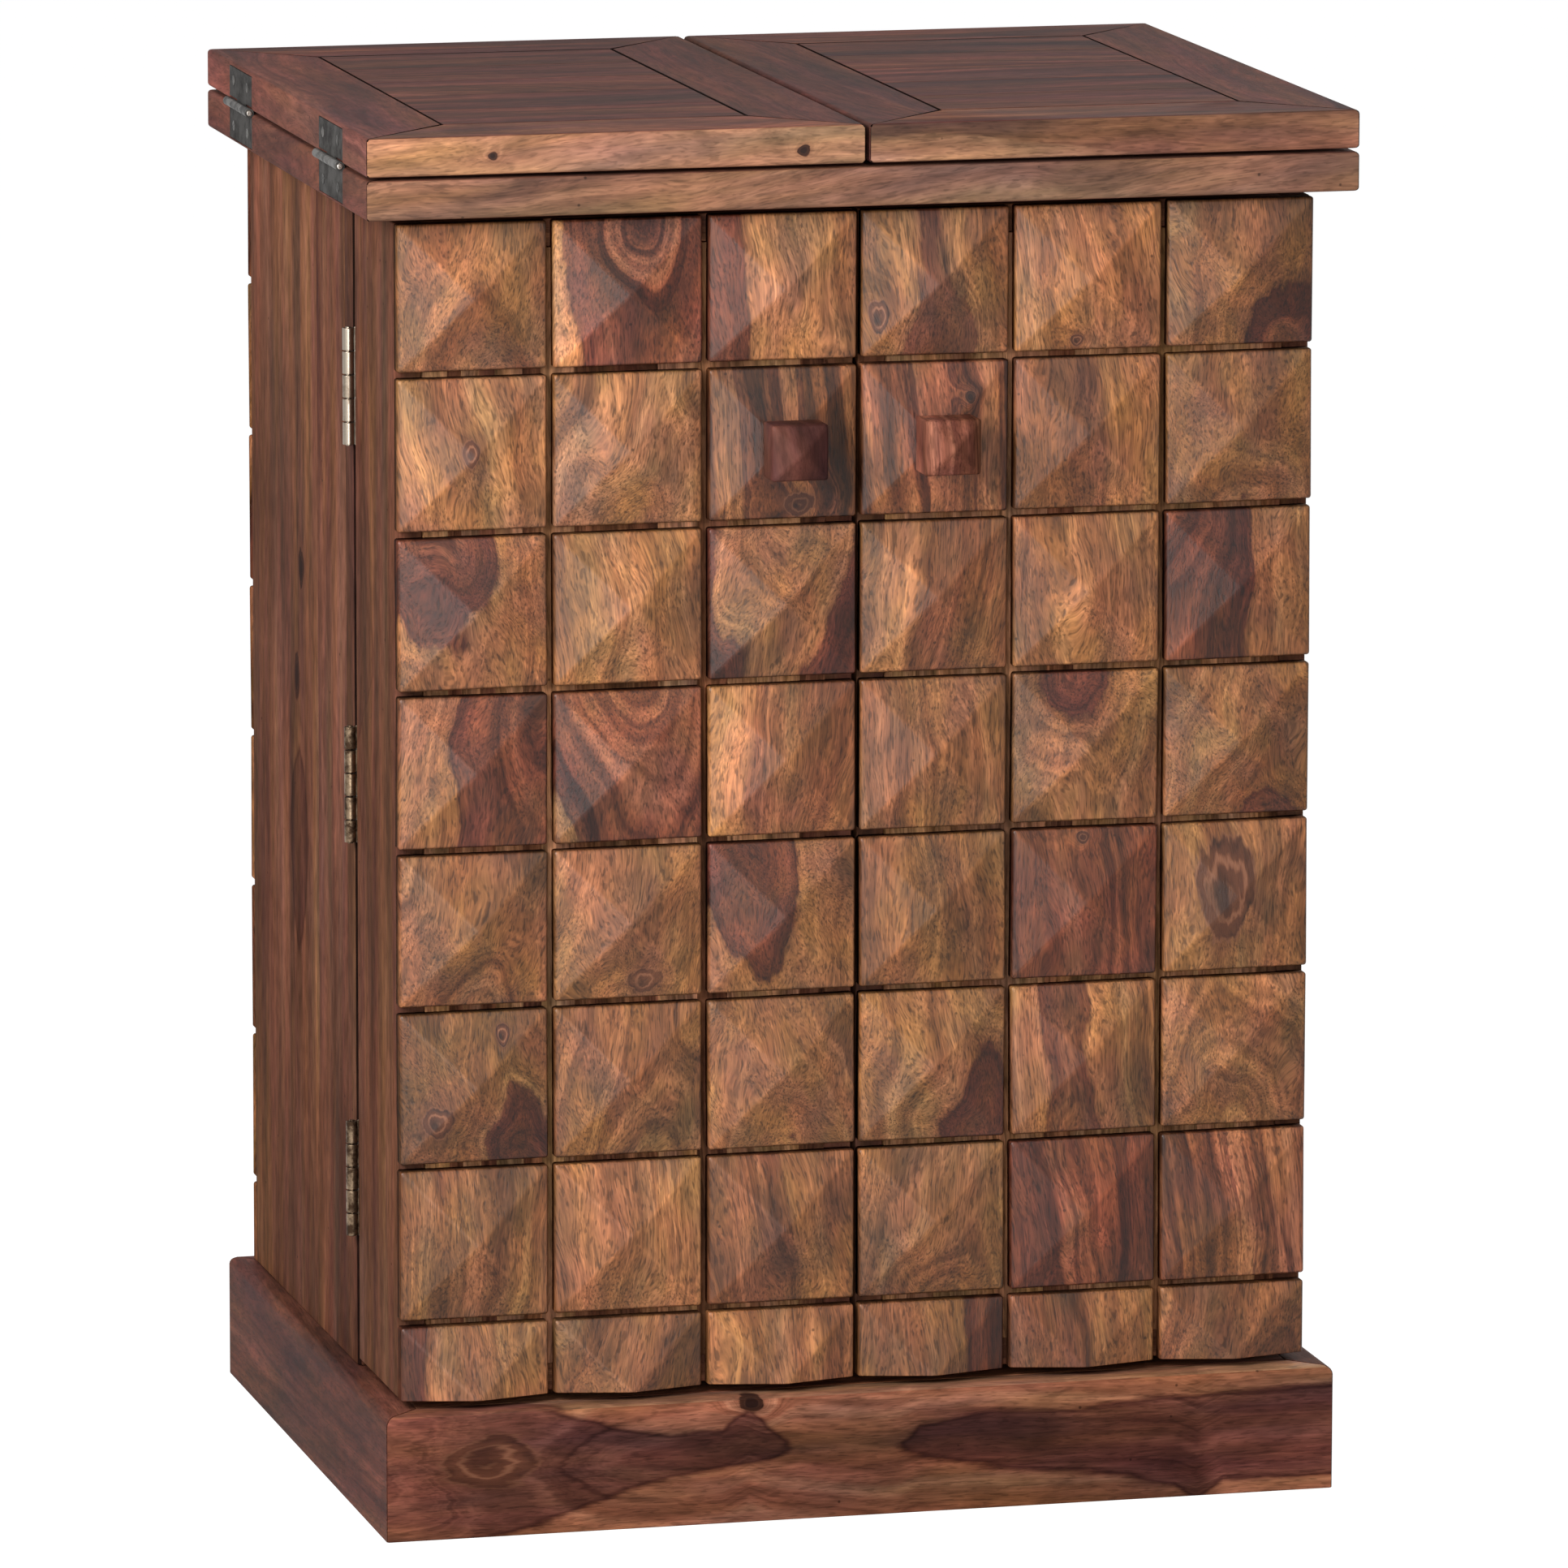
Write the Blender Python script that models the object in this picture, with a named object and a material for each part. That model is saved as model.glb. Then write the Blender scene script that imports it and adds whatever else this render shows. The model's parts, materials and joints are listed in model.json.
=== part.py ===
"""Bar cabinet: a case on a plinth, two deep bottle doors faced with pyramid blocks, and a fold-out top.

Units are metres, +Z is up and the front faces -Y. The origin is the middle of the footprint, on the floor.
"""

from math import copysign, pi, radians

import bmesh
import bpy
from mathutils import Matrix, Vector

# Overall
OVERALL_HEIGHT = 0.910
SEAT = 0.0003  # gap between pieces that rest on or butt against each other
ROUND_SEGMENTS = 3
SMOOTH_ANGLE = radians(35)
MERGE_DISTANCE = 0.000001

# Folding top
TOP_WIDTH = 0.654
TOP_DEPTH = 0.4985
LEAF_THICKNESS = 0.025
LEAF_SEAT_GAP = 0.0022
LEAF_MEETING_GAP = 0.003
LEAF_FRAME_WIDTH = 0.062
FIXED_TOP_THICKNESS = 0.0255
TOP_EDGE_ROUND = 0.0025

# Plinth
PLINTH_WIDTH = 0.635
PLINTH_DEPTH = 0.500
PLINTH_HEIGHT = 0.082
PLINTH_BOARD = 0.025
PLINTH_ROUND = 0.005
BASE_PANEL_THICKNESS = 0.018

# Case
CASE_WIDTH = 0.606
CASE_FRONT_SETBACK = 0.0214  # plinth front to the edge plane of the door blocks
CASE_BACK_SETBACK = 0.0126  # plinth back to the edge plane of the back blocks
SIDE_THICKNESS = 0.020
PANEL_THICKNESS = 0.009  # board that carries the blocks
SHELF_THICKNESS = 0.018
SHELF_HEIGHT = 0.375  # clear height under the shelf
SHELF_SETBACK = 0.012  # case front edge to the shelf's front edge
BOARD_EASE = 0.001

# Pyramid blocks
BLOCK_WALL = 0.010
BLOCK_RISE = 0.012
BLOCK_CHAMFER = 0.002
BLOCK_BITE = 0.0015  # how deep the blocks are let into their panel
GROOVE = 0.0045
TOP_ROW_HEIGHT = 0.0947
ROW_PITCH = 0.1028
COLUMNS_PER_DOOR = 3
KNOB_ROW = 1

# Doors
DOOR_DEPTH = 0.1282  # edge plane of the blocks to the hinge seam
DOOR_TOP_GAP = 0.0053
DOOR_BOTTOM_GAP = 0.0058
DOOR_MEETING_GAP = 0.0034
DOOR_BOARD = 0.018
BOTTLE_RAIL_HEIGHT = 0.030
BOTTLE_RAIL_THICKNESS = 0.012
BOTTLE_RAIL_RAISE = 0.085  # bottle floor to the underside of its rail
BOTTLE_RAIL_INSET = 0.002

# Knobs
KNOB_WIDTH = 0.037
KNOB_HEIGHT = 0.036
KNOB_HEAD = 0.024
KNOB_POINT = 0.008
KNOB_NECK = 0.012
KNOB_NECK_DIAMETER = 0.016
KNOB_SEAT_MARGIN = 0.0015
KNOB_CHAMFER = 0.0012

# Hinges
PIN_CLEARANCE = 0.0004
KNUCKLE_GAP = 0.0004
KNUCKLE_SIDES = 12
TAB_SHORTENING = 0.0002  # a knuckle's tab is this much shorter than the knuckle at each end
DOOR_HINGE_LENGTH = 0.077
DOOR_HINGE_INSET = 0.121  # door end to the middle of the nearest hinge
DOOR_HINGES = 3
DOOR_HINGE_KNUCKLES = 5
DOOR_KNUCKLE_RADIUS = 0.0038
DOOR_PIN_RADIUS = 0.0016
DOOR_HINGE_PLATE = 0.0012
DOOR_PLATE_GAP = 0.0004
DOOR_PLATE_MARGIN = 0.002
TOP_HINGE_LENGTH = 0.072
TOP_HINGE_INSET = 0.108  # leaf end to the middle of the nearest hinge
TOP_HINGE_KNUCKLES = 3
TOP_KNUCKLE_RADIUS = 0.0030
TOP_PIN_RADIUS = 0.0010
TOP_HINGE_PLATE = 0.0014
TOP_PLATE_INSET = 0.0001  # how far the plates' faces lie inside the knuckles' wall
TOP_PLATE_MARGIN = 0.0025  # wood left beyond the plate

# Stemware rack and door catch
RACK_THICKNESS = 0.015
RACK_FOOT_ROOM = 0.040  # clear height above the rack for the glasses' feet
RACK_SETBACK = 0.020
RACK_DEPTH = 0.250
RACK_SLOTS = 5
RACK_SLOT_WIDTH = 0.022
RACK_SLOT_DEPTH = 0.205
CATCH_WIDTH = 0.060
CATCH_DEPTH = 0.015
CATCH_HEIGHT = 0.013
CATCH_GAP = 0.0005

# Heights that follow
LEAF_BOTTOM = OVERALL_HEIGHT - LEAF_THICKNESS
FIXED_TOP_TOP = LEAF_BOTTOM - LEAF_SEAT_GAP
FIXED_TOP_BOTTOM = FIXED_TOP_TOP - FIXED_TOP_THICKNESS
LEAF_AXIS_Z = (LEAF_BOTTOM + FIXED_TOP_TOP) / 2
CASE_BOTTOM = PLINTH_HEIGHT + SEAT
CASE_TOP = FIXED_TOP_BOTTOM - SEAT
DOOR_TOP = FIXED_TOP_BOTTOM - DOOR_TOP_GAP
DOOR_BOTTOM = PLINTH_HEIGHT + DOOR_BOTTOM_GAP
FIRST_GROOVE_Z = DOOR_TOP - TOP_ROW_HEIGHT - GROOVE / 2
FULL_BLOCK_HEIGHT = ROW_PITCH - GROOVE
SHELF_BOTTOM = CASE_BOTTOM + SHELF_HEIGHT

# Places across the width that follow
CASE_HALF = CASE_WIDTH / 2
SIDE_INNER = CASE_HALF - SIDE_THICKNESS
DOOR_INNER = DOOR_MEETING_GAP / 2
TOP_HALF = TOP_WIDTH / 2
DOOR_AXIS_X = CASE_HALF + DOOR_KNUCKLE_RADIUS + SEAT
TOP_AXIS_OFFSET = TOP_PIN_RADIUS + PIN_CLEARANCE + TOP_PLATE_INSET  # pin to the outer edge of the top
LEAF_AXIS_X = TOP_HALF + TOP_AXIS_OFFSET
DOOR_BLOCK_WIDTH = (CASE_HALF - DOOR_INNER - (COLUMNS_PER_DOOR - 1) * GROOVE) / COLUMNS_PER_DOOR

# Places along the depth that follow, with the overall depth centred on the origin
KNOB_FLAT = KNOB_NECK_DIAMETER + 2 * KNOB_SEAT_MARGIN
KNOB_BLOCK_FACE = min(DOOR_BLOCK_WIDTH, FULL_BLOCK_HEIGHT) - 2 * BLOCK_CHAMFER
KNOB_SEAT_RISE = BLOCK_RISE * (1 - KNOB_FLAT / KNOB_BLOCK_FACE)
KNOB_REACH = KNOB_SEAT_RISE + SEAT + KNOB_NECK + KNOB_HEAD + KNOB_POINT - CASE_FRONT_SETBACK
BACK_REACH = max(0.0, BLOCK_RISE - CASE_BACK_SETBACK)
PLINTH_FRONT = (KNOB_REACH - PLINTH_DEPTH - BACK_REACH) / 2
PLINTH_BACK = PLINTH_FRONT + PLINTH_DEPTH
TOP_FRONT = PLINTH_FRONT + (PLINTH_DEPTH - TOP_DEPTH) / 2
TOP_BACK = TOP_FRONT + TOP_DEPTH
HINGE_SEAM = 2 * (SEAT + DOOR_HINGE_PLATE) + DOOR_PLATE_GAP
BLOCK_FRONT = PLINTH_FRONT + CASE_FRONT_SETBACK
DOOR_FRAME_FRONT = BLOCK_FRONT + BLOCK_WALL + SEAT
SEAM_Y = BLOCK_FRONT + DOOR_DEPTH
DOOR_BACK = SEAM_Y - HINGE_SEAM / 2
SIDE_FRONT = SEAM_Y + HINGE_SEAM / 2
BLOCK_BACK = PLINTH_BACK - CASE_BACK_SETBACK
SIDE_BACK = BLOCK_BACK - BLOCK_WALL - SEAT
DOOR_PANEL_INNER = BLOCK_FRONT + BLOCK_WALL - BLOCK_BITE + PANEL_THICKNESS
BACK_PANEL_INNER = BLOCK_BACK - BLOCK_WALL + BLOCK_BITE - PANEL_THICKNESS

SIDES = {"left": -1, "right": 1}


def start_scene():
    """Clears the scene and returns the collections for the parts and for their cutters."""
    for obj in list(bpy.data.objects):
        bpy.data.objects.remove(obj, do_unlink=True)
    collections = []
    for name in ("bar_cabinet", "bar_cabinet_cutters"):
        collection = bpy.data.collections.new(name)
        bpy.context.scene.collection.children.link(collection)
        collections.append(collection)
    return collections


PARTS, CUTTERS = start_scene()


def principled(name, colour, roughness, metallic=0.0):
    material = bpy.data.materials.new(name)
    material.use_nodes = True
    shader = material.node_tree.nodes["Principled BSDF"]
    shader.inputs["Base Color"].default_value = (*colour, 1.0)
    shader.inputs["Roughness"].default_value = roughness
    shader.inputs["Metallic"].default_value = metallic
    return material


DARK_WOOD = principled("rosewood_dark", (0.118, 0.056, 0.036), 0.45)
BLOCK_WOOD = principled("rosewood_blocks", (0.262, 0.130, 0.062), 0.45)
KNOB_WOOD = principled("rosewood_knob", (0.070, 0.030, 0.024), 0.40)
BLACK_IRON = principled("black_iron", (0.030, 0.028, 0.026), 0.50, 0.8)
WORN_STEEL = principled("worn_steel", (0.420, 0.380, 0.320), 0.35, 1.0)
CATCH_PLASTIC = principled("catch_plastic", (0.060, 0.040, 0.030), 0.50)


def pivot(name, place):
    """An empty on a joint's axis, which carries the pieces that turn about it."""
    empty = bpy.data.objects.new(name, None)
    empty.location = place
    PARTS.objects.link(empty)
    return empty


def add_object(name, mesh_builder, place, material, parent=None):
    """One piece whose mesh is in its own frame, set down at a place in the world."""
    mesh = bpy.data.meshes.new(name)
    bmesh.ops.recalc_face_normals(mesh_builder, faces=mesh_builder.faces)
    mesh_builder.to_mesh(mesh)
    mesh_builder.free()
    mesh.shade_smooth()
    mesh.set_sharp_from_angle(angle=SMOOTH_ANGLE)
    mesh.materials.append(material)
    obj = bpy.data.objects.new(name, mesh)
    PARTS.objects.link(obj)
    obj.location = Vector(place)
    if parent:
        obj.parent = parent
        obj.location -= parent.location
    return obj


def as_operand(obj):
    """Makes an object a hidden operand of a Boolean."""
    PARTS.objects.unlink(obj)
    CUTTERS.objects.link(obj)
    obj.hide_render = True
    obj.display_type = "WIRE"
    return obj


def boolean(obj, operand, operation):
    modifier = obj.modifiers.new(f"{operation.lower()}_{operand.name}", "BOOLEAN")
    modifier.operation = operation
    modifier.object = as_operand(operand)


def box_mesh(size):
    builder = bmesh.new()
    bmesh.ops.create_cube(builder, size=1.0)
    bmesh.ops.scale(builder, vec=size, verts=builder.verts)
    return builder


def cut_away(builder, point, normal):
    """Saws off what lies on the normal's side of a plane and closes the cut."""
    geometry = builder.verts[:] + builder.edges[:] + builder.faces[:]
    cut = bmesh.ops.bisect_plane(builder, geom=geometry, plane_co=point, plane_no=normal, clear_outer=True)
    rim = [item for item in cut["geom_cut"] if isinstance(item, bmesh.types.BMEdge)]
    if rim:
        bmesh.ops.contextual_create(builder, geom=rim)


def round_edges(builder, chosen, radius, segments=ROUND_SEGMENTS):
    edges = [edge for edge in builder.edges if chosen(edge)]
    bmesh.ops.bevel(builder, geom=edges, offset=radius, segments=segments, profile=0.5, affect="EDGES")


def middle(edge):
    return (edge.verts[0].co + edge.verts[1].co) / 2


def board(name, low, high, material=DARK_WOOD, parent=None, ease=BOARD_EASE, segments=1):
    """A square-cut board between two corners, with its edges eased or rounded."""
    low, high = Vector(low), Vector(high)
    builder = box_mesh(high - low)
    if ease:
        round_edges(builder, lambda edge: True, ease, segments)
    return add_object(name, builder, (low + high) / 2, material, parent)


def mitred_board(name, low, high, outward, radius, round_bottom, parent=None):
    """A frame board with its ends sawn at 45 degrees and its outer edges rounded.

    outward is the unit vector, along X or Y, from the frame's middle to this board.
    """
    low, high, outward = Vector(low), Vector(high), Vector(outward)
    size = high - low
    along = Vector((abs(outward.y), abs(outward.x), 0))
    across = abs(outward.dot(size))
    builder = box_mesh(size + 2 * across * along)
    outer_face = across / 2
    half_length = along.dot(size) / 2
    for end in (-1, 1):
        corner = outward * outer_face + along * end * half_length
        cut_away(builder, corner, (along * end - outward).normalized())

    def outer_edge(edge):
        place = middle(edge)
        runs_along = abs((edge.verts[0].co - edge.verts[1].co).normalized().dot(along)) > 0.99
        at_top = place.z > 0 or round_bottom
        return runs_along and at_top and place.dot(outward) > outer_face - SEAT

    round_edges(builder, outer_edge, radius)
    return add_object(name, builder, (low + high) / 2, DARK_WOOD, parent)


def mitred_frame(prefix, names, low, high, width, radius, round_bottom, parent=None):
    """Four mitred boards round a rectangle. names gives the boards at -Y, +Y, -X and +X."""
    low, high = Vector(low), Vector(high)
    slack = SEAT / 2
    boards = {}
    for name, outward in zip(names, ((0, -1), (0, 1), (-1, 0), (1, 0))):
        board_low, board_high = low.copy(), high.copy()
        for axis in (0, 1):
            if outward[axis] < 0:
                board_high[axis] = low[axis] + width
            elif outward[axis] > 0:
                board_low[axis] = high[axis] - width
            else:
                board_low[axis] += slack
                board_high[axis] -= slack
        boards[name] = mitred_board(
            prefix + name, board_low, board_high, (*outward, 0), radius, round_bottom, parent
        )
    return boards


def block_mesh(width, height, flat):
    """One pyramid block, facing -Y, with its edge plane at y = 0. flat is the side of a cut-off point."""
    wall = BLOCK_WALL - BLOCK_CHAMFER
    builder = box_mesh((width, wall, height))
    bmesh.ops.translate(builder, vec=(0, BLOCK_CHAMFER + wall / 2, 0), verts=builder.verts)
    face = min(builder.faces, key=lambda item: item.calc_center_median().y)
    steps = [(0.0, width - 2 * BLOCK_CHAMFER, height - 2 * BLOCK_CHAMFER)]
    if flat:
        steps.append((-KNOB_SEAT_RISE, flat, flat))
    for y, face_width, face_height in steps:
        raised = bmesh.ops.extrude_discrete_faces(builder, faces=[face])["faces"][0]
        for vert in raised.verts:
            vert.co.x = copysign(face_width / 2, vert.co.x)
            vert.co.y = y
            vert.co.z = copysign(face_height / 2, vert.co.z)
        face = raised
    if not flat:
        point = bmesh.ops.poke(builder, faces=[face])["verts"][0]
        point.co = (0, -BLOCK_RISE, 0)
    return builder


def block_rows(bottom, top):
    """(lower, upper) end of each row of blocks, from the top down. The last may reach below the bottom."""
    rows = [(FIRST_GROOVE_Z + GROOVE / 2, top)]
    upper = FIRST_GROOVE_Z - GROOVE / 2
    while upper - bottom > 2 * BLOCK_CHAMFER:
        rows.append((upper - FULL_BLOCK_HEIGHT, upper))
        upper -= ROW_PITCH
    return rows


def block_field(name, left, right, bottom, top, columns, knob_column=None):
    """All the blocks of one face as one operand, facing -Y with their edge plane at y = 0."""
    width = (right - left - (columns - 1) * GROOVE) / columns
    field = bmesh.new()
    for row, (lower, upper) in enumerate(block_rows(bottom, top)):
        for column in range(columns):
            flat = KNOB_FLAT if (row, column) == (KNOB_ROW, knob_column) else 0.0
            block = block_mesh(width, upper - lower, flat)
            centre_x = left + width / 2 + column * (width + GROOVE)
            bmesh.ops.translate(block, vec=(centre_x, 0, (lower + upper) / 2), verts=block.verts)
            if lower < bottom:
                cut_away(block, (0, 0, bottom), (0, 0, -1))
            piece = bpy.data.meshes.new(name)
            block.to_mesh(piece)
            block.free()
            field.from_mesh(piece)
            bpy.data.meshes.remove(piece)
    return field


def block_panel(name, field, panel_low, panel_high, parent=None):
    """A carrying board with a field of blocks standing on it, as one carved panel."""
    panel = board(name, panel_low, panel_high, BLOCK_WOOD, parent, ease=0)
    blocks = add_object(name + "_blocks", field, (0, 0, 0), BLOCK_WOOD)
    boolean(panel, blocks, "UNION")
    return panel


def knuckle_spans(length, count):
    """The (start, end) of each knuckle along the pin, middle of the hinge at 0."""
    pitch = length / count
    return [
        (-length / 2 + i * pitch + KNUCKLE_GAP / 2, -length / 2 + (i + 1) * pitch - KNUCKLE_GAP / 2)
        for i in range(count)
    ]


def turned(profiles, closed):
    """Solids of revolution about Z, one from each profile of (radius, height) points."""
    builder = bmesh.new()
    for profile in profiles:
        verts = [builder.verts.new((radius, 0, height)) for radius, height in profile]
        following = verts[1:] + verts[:1] if closed else verts[1:]
        edges = [builder.edges.new(pair) for pair in zip(verts, following)]
        bmesh.ops.spin(
            builder, geom=verts + edges, axis=(0, 0, 1), angle=2 * pi, steps=KNUCKLE_SIDES, use_merge=True
        )
    bmesh.ops.remove_doubles(builder, verts=builder.verts, dist=MERGE_DISTANCE)
    return builder


def pin_stack(spans, radius, pin_radius):
    """A hinge pin with its fixed knuckles on it, turned as one. A knuckle is at each end."""
    profile = []
    for start, end in spans:
        profile += [(pin_radius, start), (radius, start), (radius, end), (pin_radius, end)]
    profile[0] = (0.0, spans[0][0])
    profile[-1] = (0.0, spans[-1][1])
    return turned([profile], closed=False)


def rolled_knuckles(spans, radius, bore):
    """Knuckles that turn on the pin."""
    profiles = [[(bore, start), (radius, start), (radius, end), (bore, end)] for start, end in spans]
    return turned(profiles, closed=True)


def plate_mesh(length, radius, offset, thickness, reach, own, tab_end):
    """A hinge plate with a tab to each of its own knuckles. The pin is along Z, the plate along +X."""
    start = radius + PIN_CLEARANCE
    builder = box_mesh((reach - start, thickness, length))
    bmesh.ops.translate(
        builder, vec=((start + reach) / 2, offset + thickness / 2, 0), verts=builder.verts
    )
    levels = [z for low, high in own for z in (low + TAB_SHORTENING, high - TAB_SHORTENING)]
    for level in levels:
        geometry = builder.verts[:] + builder.edges[:] + builder.faces[:]
        bmesh.ops.bisect_plane(builder, geom=geometry, plane_co=(0, 0, level), plane_no=(0, 0, 1))
    edge_faces = [face for face in builder.faces if face.calc_center_median().x < start + SEAT]
    for face in edge_faces:
        height = face.calc_center_median().z
        if any(low < height < high for low, high in own):
            tab = bmesh.ops.extrude_discrete_faces(builder, faces=[face])["faces"][0]
            for vert in tab.verts:
                vert.co.x = tab_end
    return builder


def hinge_half(name, hinge, place, frame, offset, reach, fixed, material, parent=None):
    """One half of a butt hinge. frame turns the local axes (plate, thickness, pin) to the world."""
    spans = knuckle_spans(hinge["length"], hinge["knuckles"])
    own = spans[0::2] if fixed else spans[1::2]
    radius = hinge["radius"]
    plate = plate_mesh(hinge["length"], radius, offset, hinge["plate"], reach, own, hinge["tab_end"])
    if fixed:
        barrel = pin_stack(own, radius, hinge["pin"])
    else:
        barrel = rolled_knuckles(own, radius, hinge["pin"] + PIN_CLEARANCE)
    for builder in (plate, barrel):
        bmesh.ops.transform(builder, matrix=frame, verts=builder.verts)
    half = add_object(name, plate, place, material, parent)
    barrel_object = add_object(name + "_barrel", barrel, place, material)
    boolean(half, barrel_object, "UNION")
    return half


def axes_frame(plate, thickness, pin):
    return Matrix((plate, thickness, pin)).transposed().to_4x4()


def make_plinth():
    low = (-PLINTH_WIDTH / 2, PLINTH_FRONT, 0)
    high = (PLINTH_WIDTH / 2, PLINTH_BACK, PLINTH_HEIGHT)
    names = ("front", "back", "left", "right")
    mitred_frame("plinth_", names, low, high, PLINTH_BOARD, PLINTH_ROUND, False)
    inset = PLINTH_BOARD + SEAT
    board(
        "base_panel",
        (-PLINTH_WIDTH / 2 + inset, PLINTH_FRONT + inset, PLINTH_HEIGHT - BASE_PANEL_THICKNESS),
        (PLINTH_WIDTH / 2 - inset, PLINTH_BACK - inset, PLINTH_HEIGHT),
    )


def make_case():
    for side, sign in SIDES.items():
        near, far = sorted((sign * SIDE_INNER, sign * CASE_HALF))
        board(f"side_panel_{side}", (near, SIDE_FRONT, CASE_BOTTOM), (far, SIDE_BACK, CASE_TOP))
    field = block_field(
        "back_field", -CASE_HALF, CASE_HALF, CASE_BOTTOM, CASE_TOP, 2 * COLUMNS_PER_DOOR
    )
    turn = Matrix.Translation((0, BLOCK_BACK, 0)) @ Matrix.Rotation(pi, 4, "Z")
    bmesh.ops.transform(field, matrix=turn, verts=field.verts)
    inner = SIDE_INNER - SEAT
    block_panel(
        "back_panel",
        field,
        (-inner, BACK_PANEL_INNER, CASE_BOTTOM),
        (inner, BACK_PANEL_INNER + PANEL_THICKNESS, CASE_TOP),
    )
    board(
        "middle_shelf",
        (-inner, SIDE_FRONT + SHELF_SETBACK, SHELF_BOTTOM),
        (inner, BACK_PANEL_INNER - SEAT, SHELF_BOTTOM + SHELF_THICKNESS),
    )


def make_stemware_rack():
    inner = SIDE_INNER - SEAT
    front = SIDE_FRONT + RACK_SETBACK
    top = FIXED_TOP_BOTTOM - RACK_FOOT_ROOM
    rack = board(
        "stemware_rack",
        (-inner, front, top - RACK_THICKNESS),
        (inner, front + RACK_DEPTH, top),
    )
    slots = bmesh.new()
    pitch = 2 * inner / RACK_SLOTS
    over = RACK_THICKNESS  # the cutter reaches this far past the board's faces
    for i in range(RACK_SLOTS):
        slot = box_mesh((RACK_SLOT_WIDTH, RACK_SLOT_DEPTH + over, RACK_THICKNESS + 2 * over))
        inner_end = (RACK_SLOT_DEPTH + over) / 2
        round_edges(
            slot,
            lambda edge: middle(edge).y > inner_end - SEAT and abs(middle(edge).z) < SEAT,
            RACK_SLOT_WIDTH / 2 - SEAT,
        )
        x = -inner + (i + 0.5) * pitch
        y = front + RACK_SLOT_DEPTH - inner_end
        bmesh.ops.translate(slot, vec=(x, y, top - RACK_THICKNESS / 2), verts=slot.verts)
        piece = bpy.data.meshes.new("slot")
        slot.to_mesh(piece)
        slot.free()
        slots.from_mesh(piece)
        bpy.data.meshes.remove(piece)
    boolean(rack, add_object("stemware_slots", slots, (0, 0, 0), DARK_WOOD), "DIFFERENCE")


def make_door_catch():
    board(
        "door_catch",
        (-CATCH_WIDTH / 2, DOOR_BACK + CATCH_GAP, FIXED_TOP_BOTTOM - SEAT - CATCH_HEIGHT),
        (CATCH_WIDTH / 2, DOOR_BACK + CATCH_GAP + CATCH_DEPTH, FIXED_TOP_BOTTOM - SEAT),
        CATCH_PLASTIC,
    )


def hinge_pocket(name, sign, hinge_y, reach):
    """The mortise for one plate of a top hinge, cut into the outer edge of a board from the seam."""
    depth = TOP_HINGE_PLATE + SEAT
    size = (2 * depth, TOP_HINGE_LENGTH + 2 * SEAT, 2 * (reach + SEAT))
    return add_object(name, box_mesh(size), (sign * TOP_HALF, hinge_y, LEAF_AXIS_Z), DARK_WOOD)


def top_hinge_places():
    return {"front": TOP_FRONT + TOP_HINGE_INSET, "back": TOP_BACK - TOP_HINGE_INSET}


def plate_reach(thickness):
    """Pin to the far edge of a top-hinge plate on a board of this thickness."""
    return LEAF_SEAT_GAP / 2 + thickness - TOP_PLATE_MARGIN


def make_fixed_top():
    low = (-TOP_HALF, TOP_FRONT, FIXED_TOP_BOTTOM)
    high = (TOP_HALF, TOP_BACK, FIXED_TOP_TOP)
    top = board("fixed_top", low, high, ease=TOP_EDGE_ROUND, segments=ROUND_SEGMENTS)
    for side, sign in SIDES.items():
        for end, y in top_hinge_places().items():
            pocket = hinge_pocket(f"fixed_top_pocket_{side}_{end}", sign, y, plate_reach(FIXED_TOP_THICKNESS))
            boolean(top, pocket, "DIFFERENCE")


def make_leaf(side, sign):
    axis = pivot(f"{side}_leaf_axis", (sign * LEAF_AXIS_X, (TOP_FRONT + TOP_BACK) / 2, LEAF_AXIS_Z))
    near, far = sorted((sign * LEAF_MEETING_GAP / 2, sign * TOP_HALF))
    low = (near, TOP_FRONT, LEAF_BOTTOM)
    high = (far, TOP_BACK, OVERALL_HEIGHT)
    stiles = ("hinge_stile", "meeting_stile") if sign < 0 else ("meeting_stile", "hinge_stile")
    names = ("front_rail", "back_rail", *stiles)
    boards = mitred_frame(
        f"{side}_leaf_", names, low, high, LEAF_FRAME_WIDTH, TOP_EDGE_ROUND, True, axis
    )
    inset = LEAF_FRAME_WIDTH + SEAT
    board(
        f"{side}_leaf_infill",
        (near + inset, TOP_FRONT + inset, LEAF_BOTTOM),
        (far - inset, TOP_BACK - inset, OVERALL_HEIGHT),
        parent=axis,
        ease=0,
    )
    reach = plate_reach(LEAF_THICKNESS)
    for end, y in top_hinge_places().items():
        pocket = hinge_pocket(f"{side}_leaf_pocket_{end}", sign, y, reach)
        boolean(boards["hinge_stile"], pocket, "DIFFERENCE")
        make_top_hinge(side, sign, end, y, axis)


def make_top_hinge(side, sign, end, y, leaf_axis):
    hinge = {
        "length": TOP_HINGE_LENGTH,
        "knuckles": TOP_HINGE_KNUCKLES,
        "radius": TOP_KNUCKLE_RADIUS,
        "pin": TOP_PIN_RADIUS,
        "plate": TOP_HINGE_PLATE,
        "tab_end": 0.0,
    }
    place = (sign * LEAF_AXIS_X, y, LEAF_AXIS_Z)
    inward = (-sign, 0, 0)
    for half, up, thickness, fixed, parent in (
        ("board", -1, FIXED_TOP_THICKNESS, True, None),
        ("leaf", 1, LEAF_THICKNESS, False, leaf_axis),
    ):
        hinge_half(
            f"{side}_top_hinge_{end}_{half}_plate",
            hinge,
            place,
            axes_frame((0, 0, up), inward, (0, 1, 0)),
            TOP_AXIS_OFFSET,
            plate_reach(thickness),
            fixed,
            BLACK_IRON,
            parent,
        )


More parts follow.
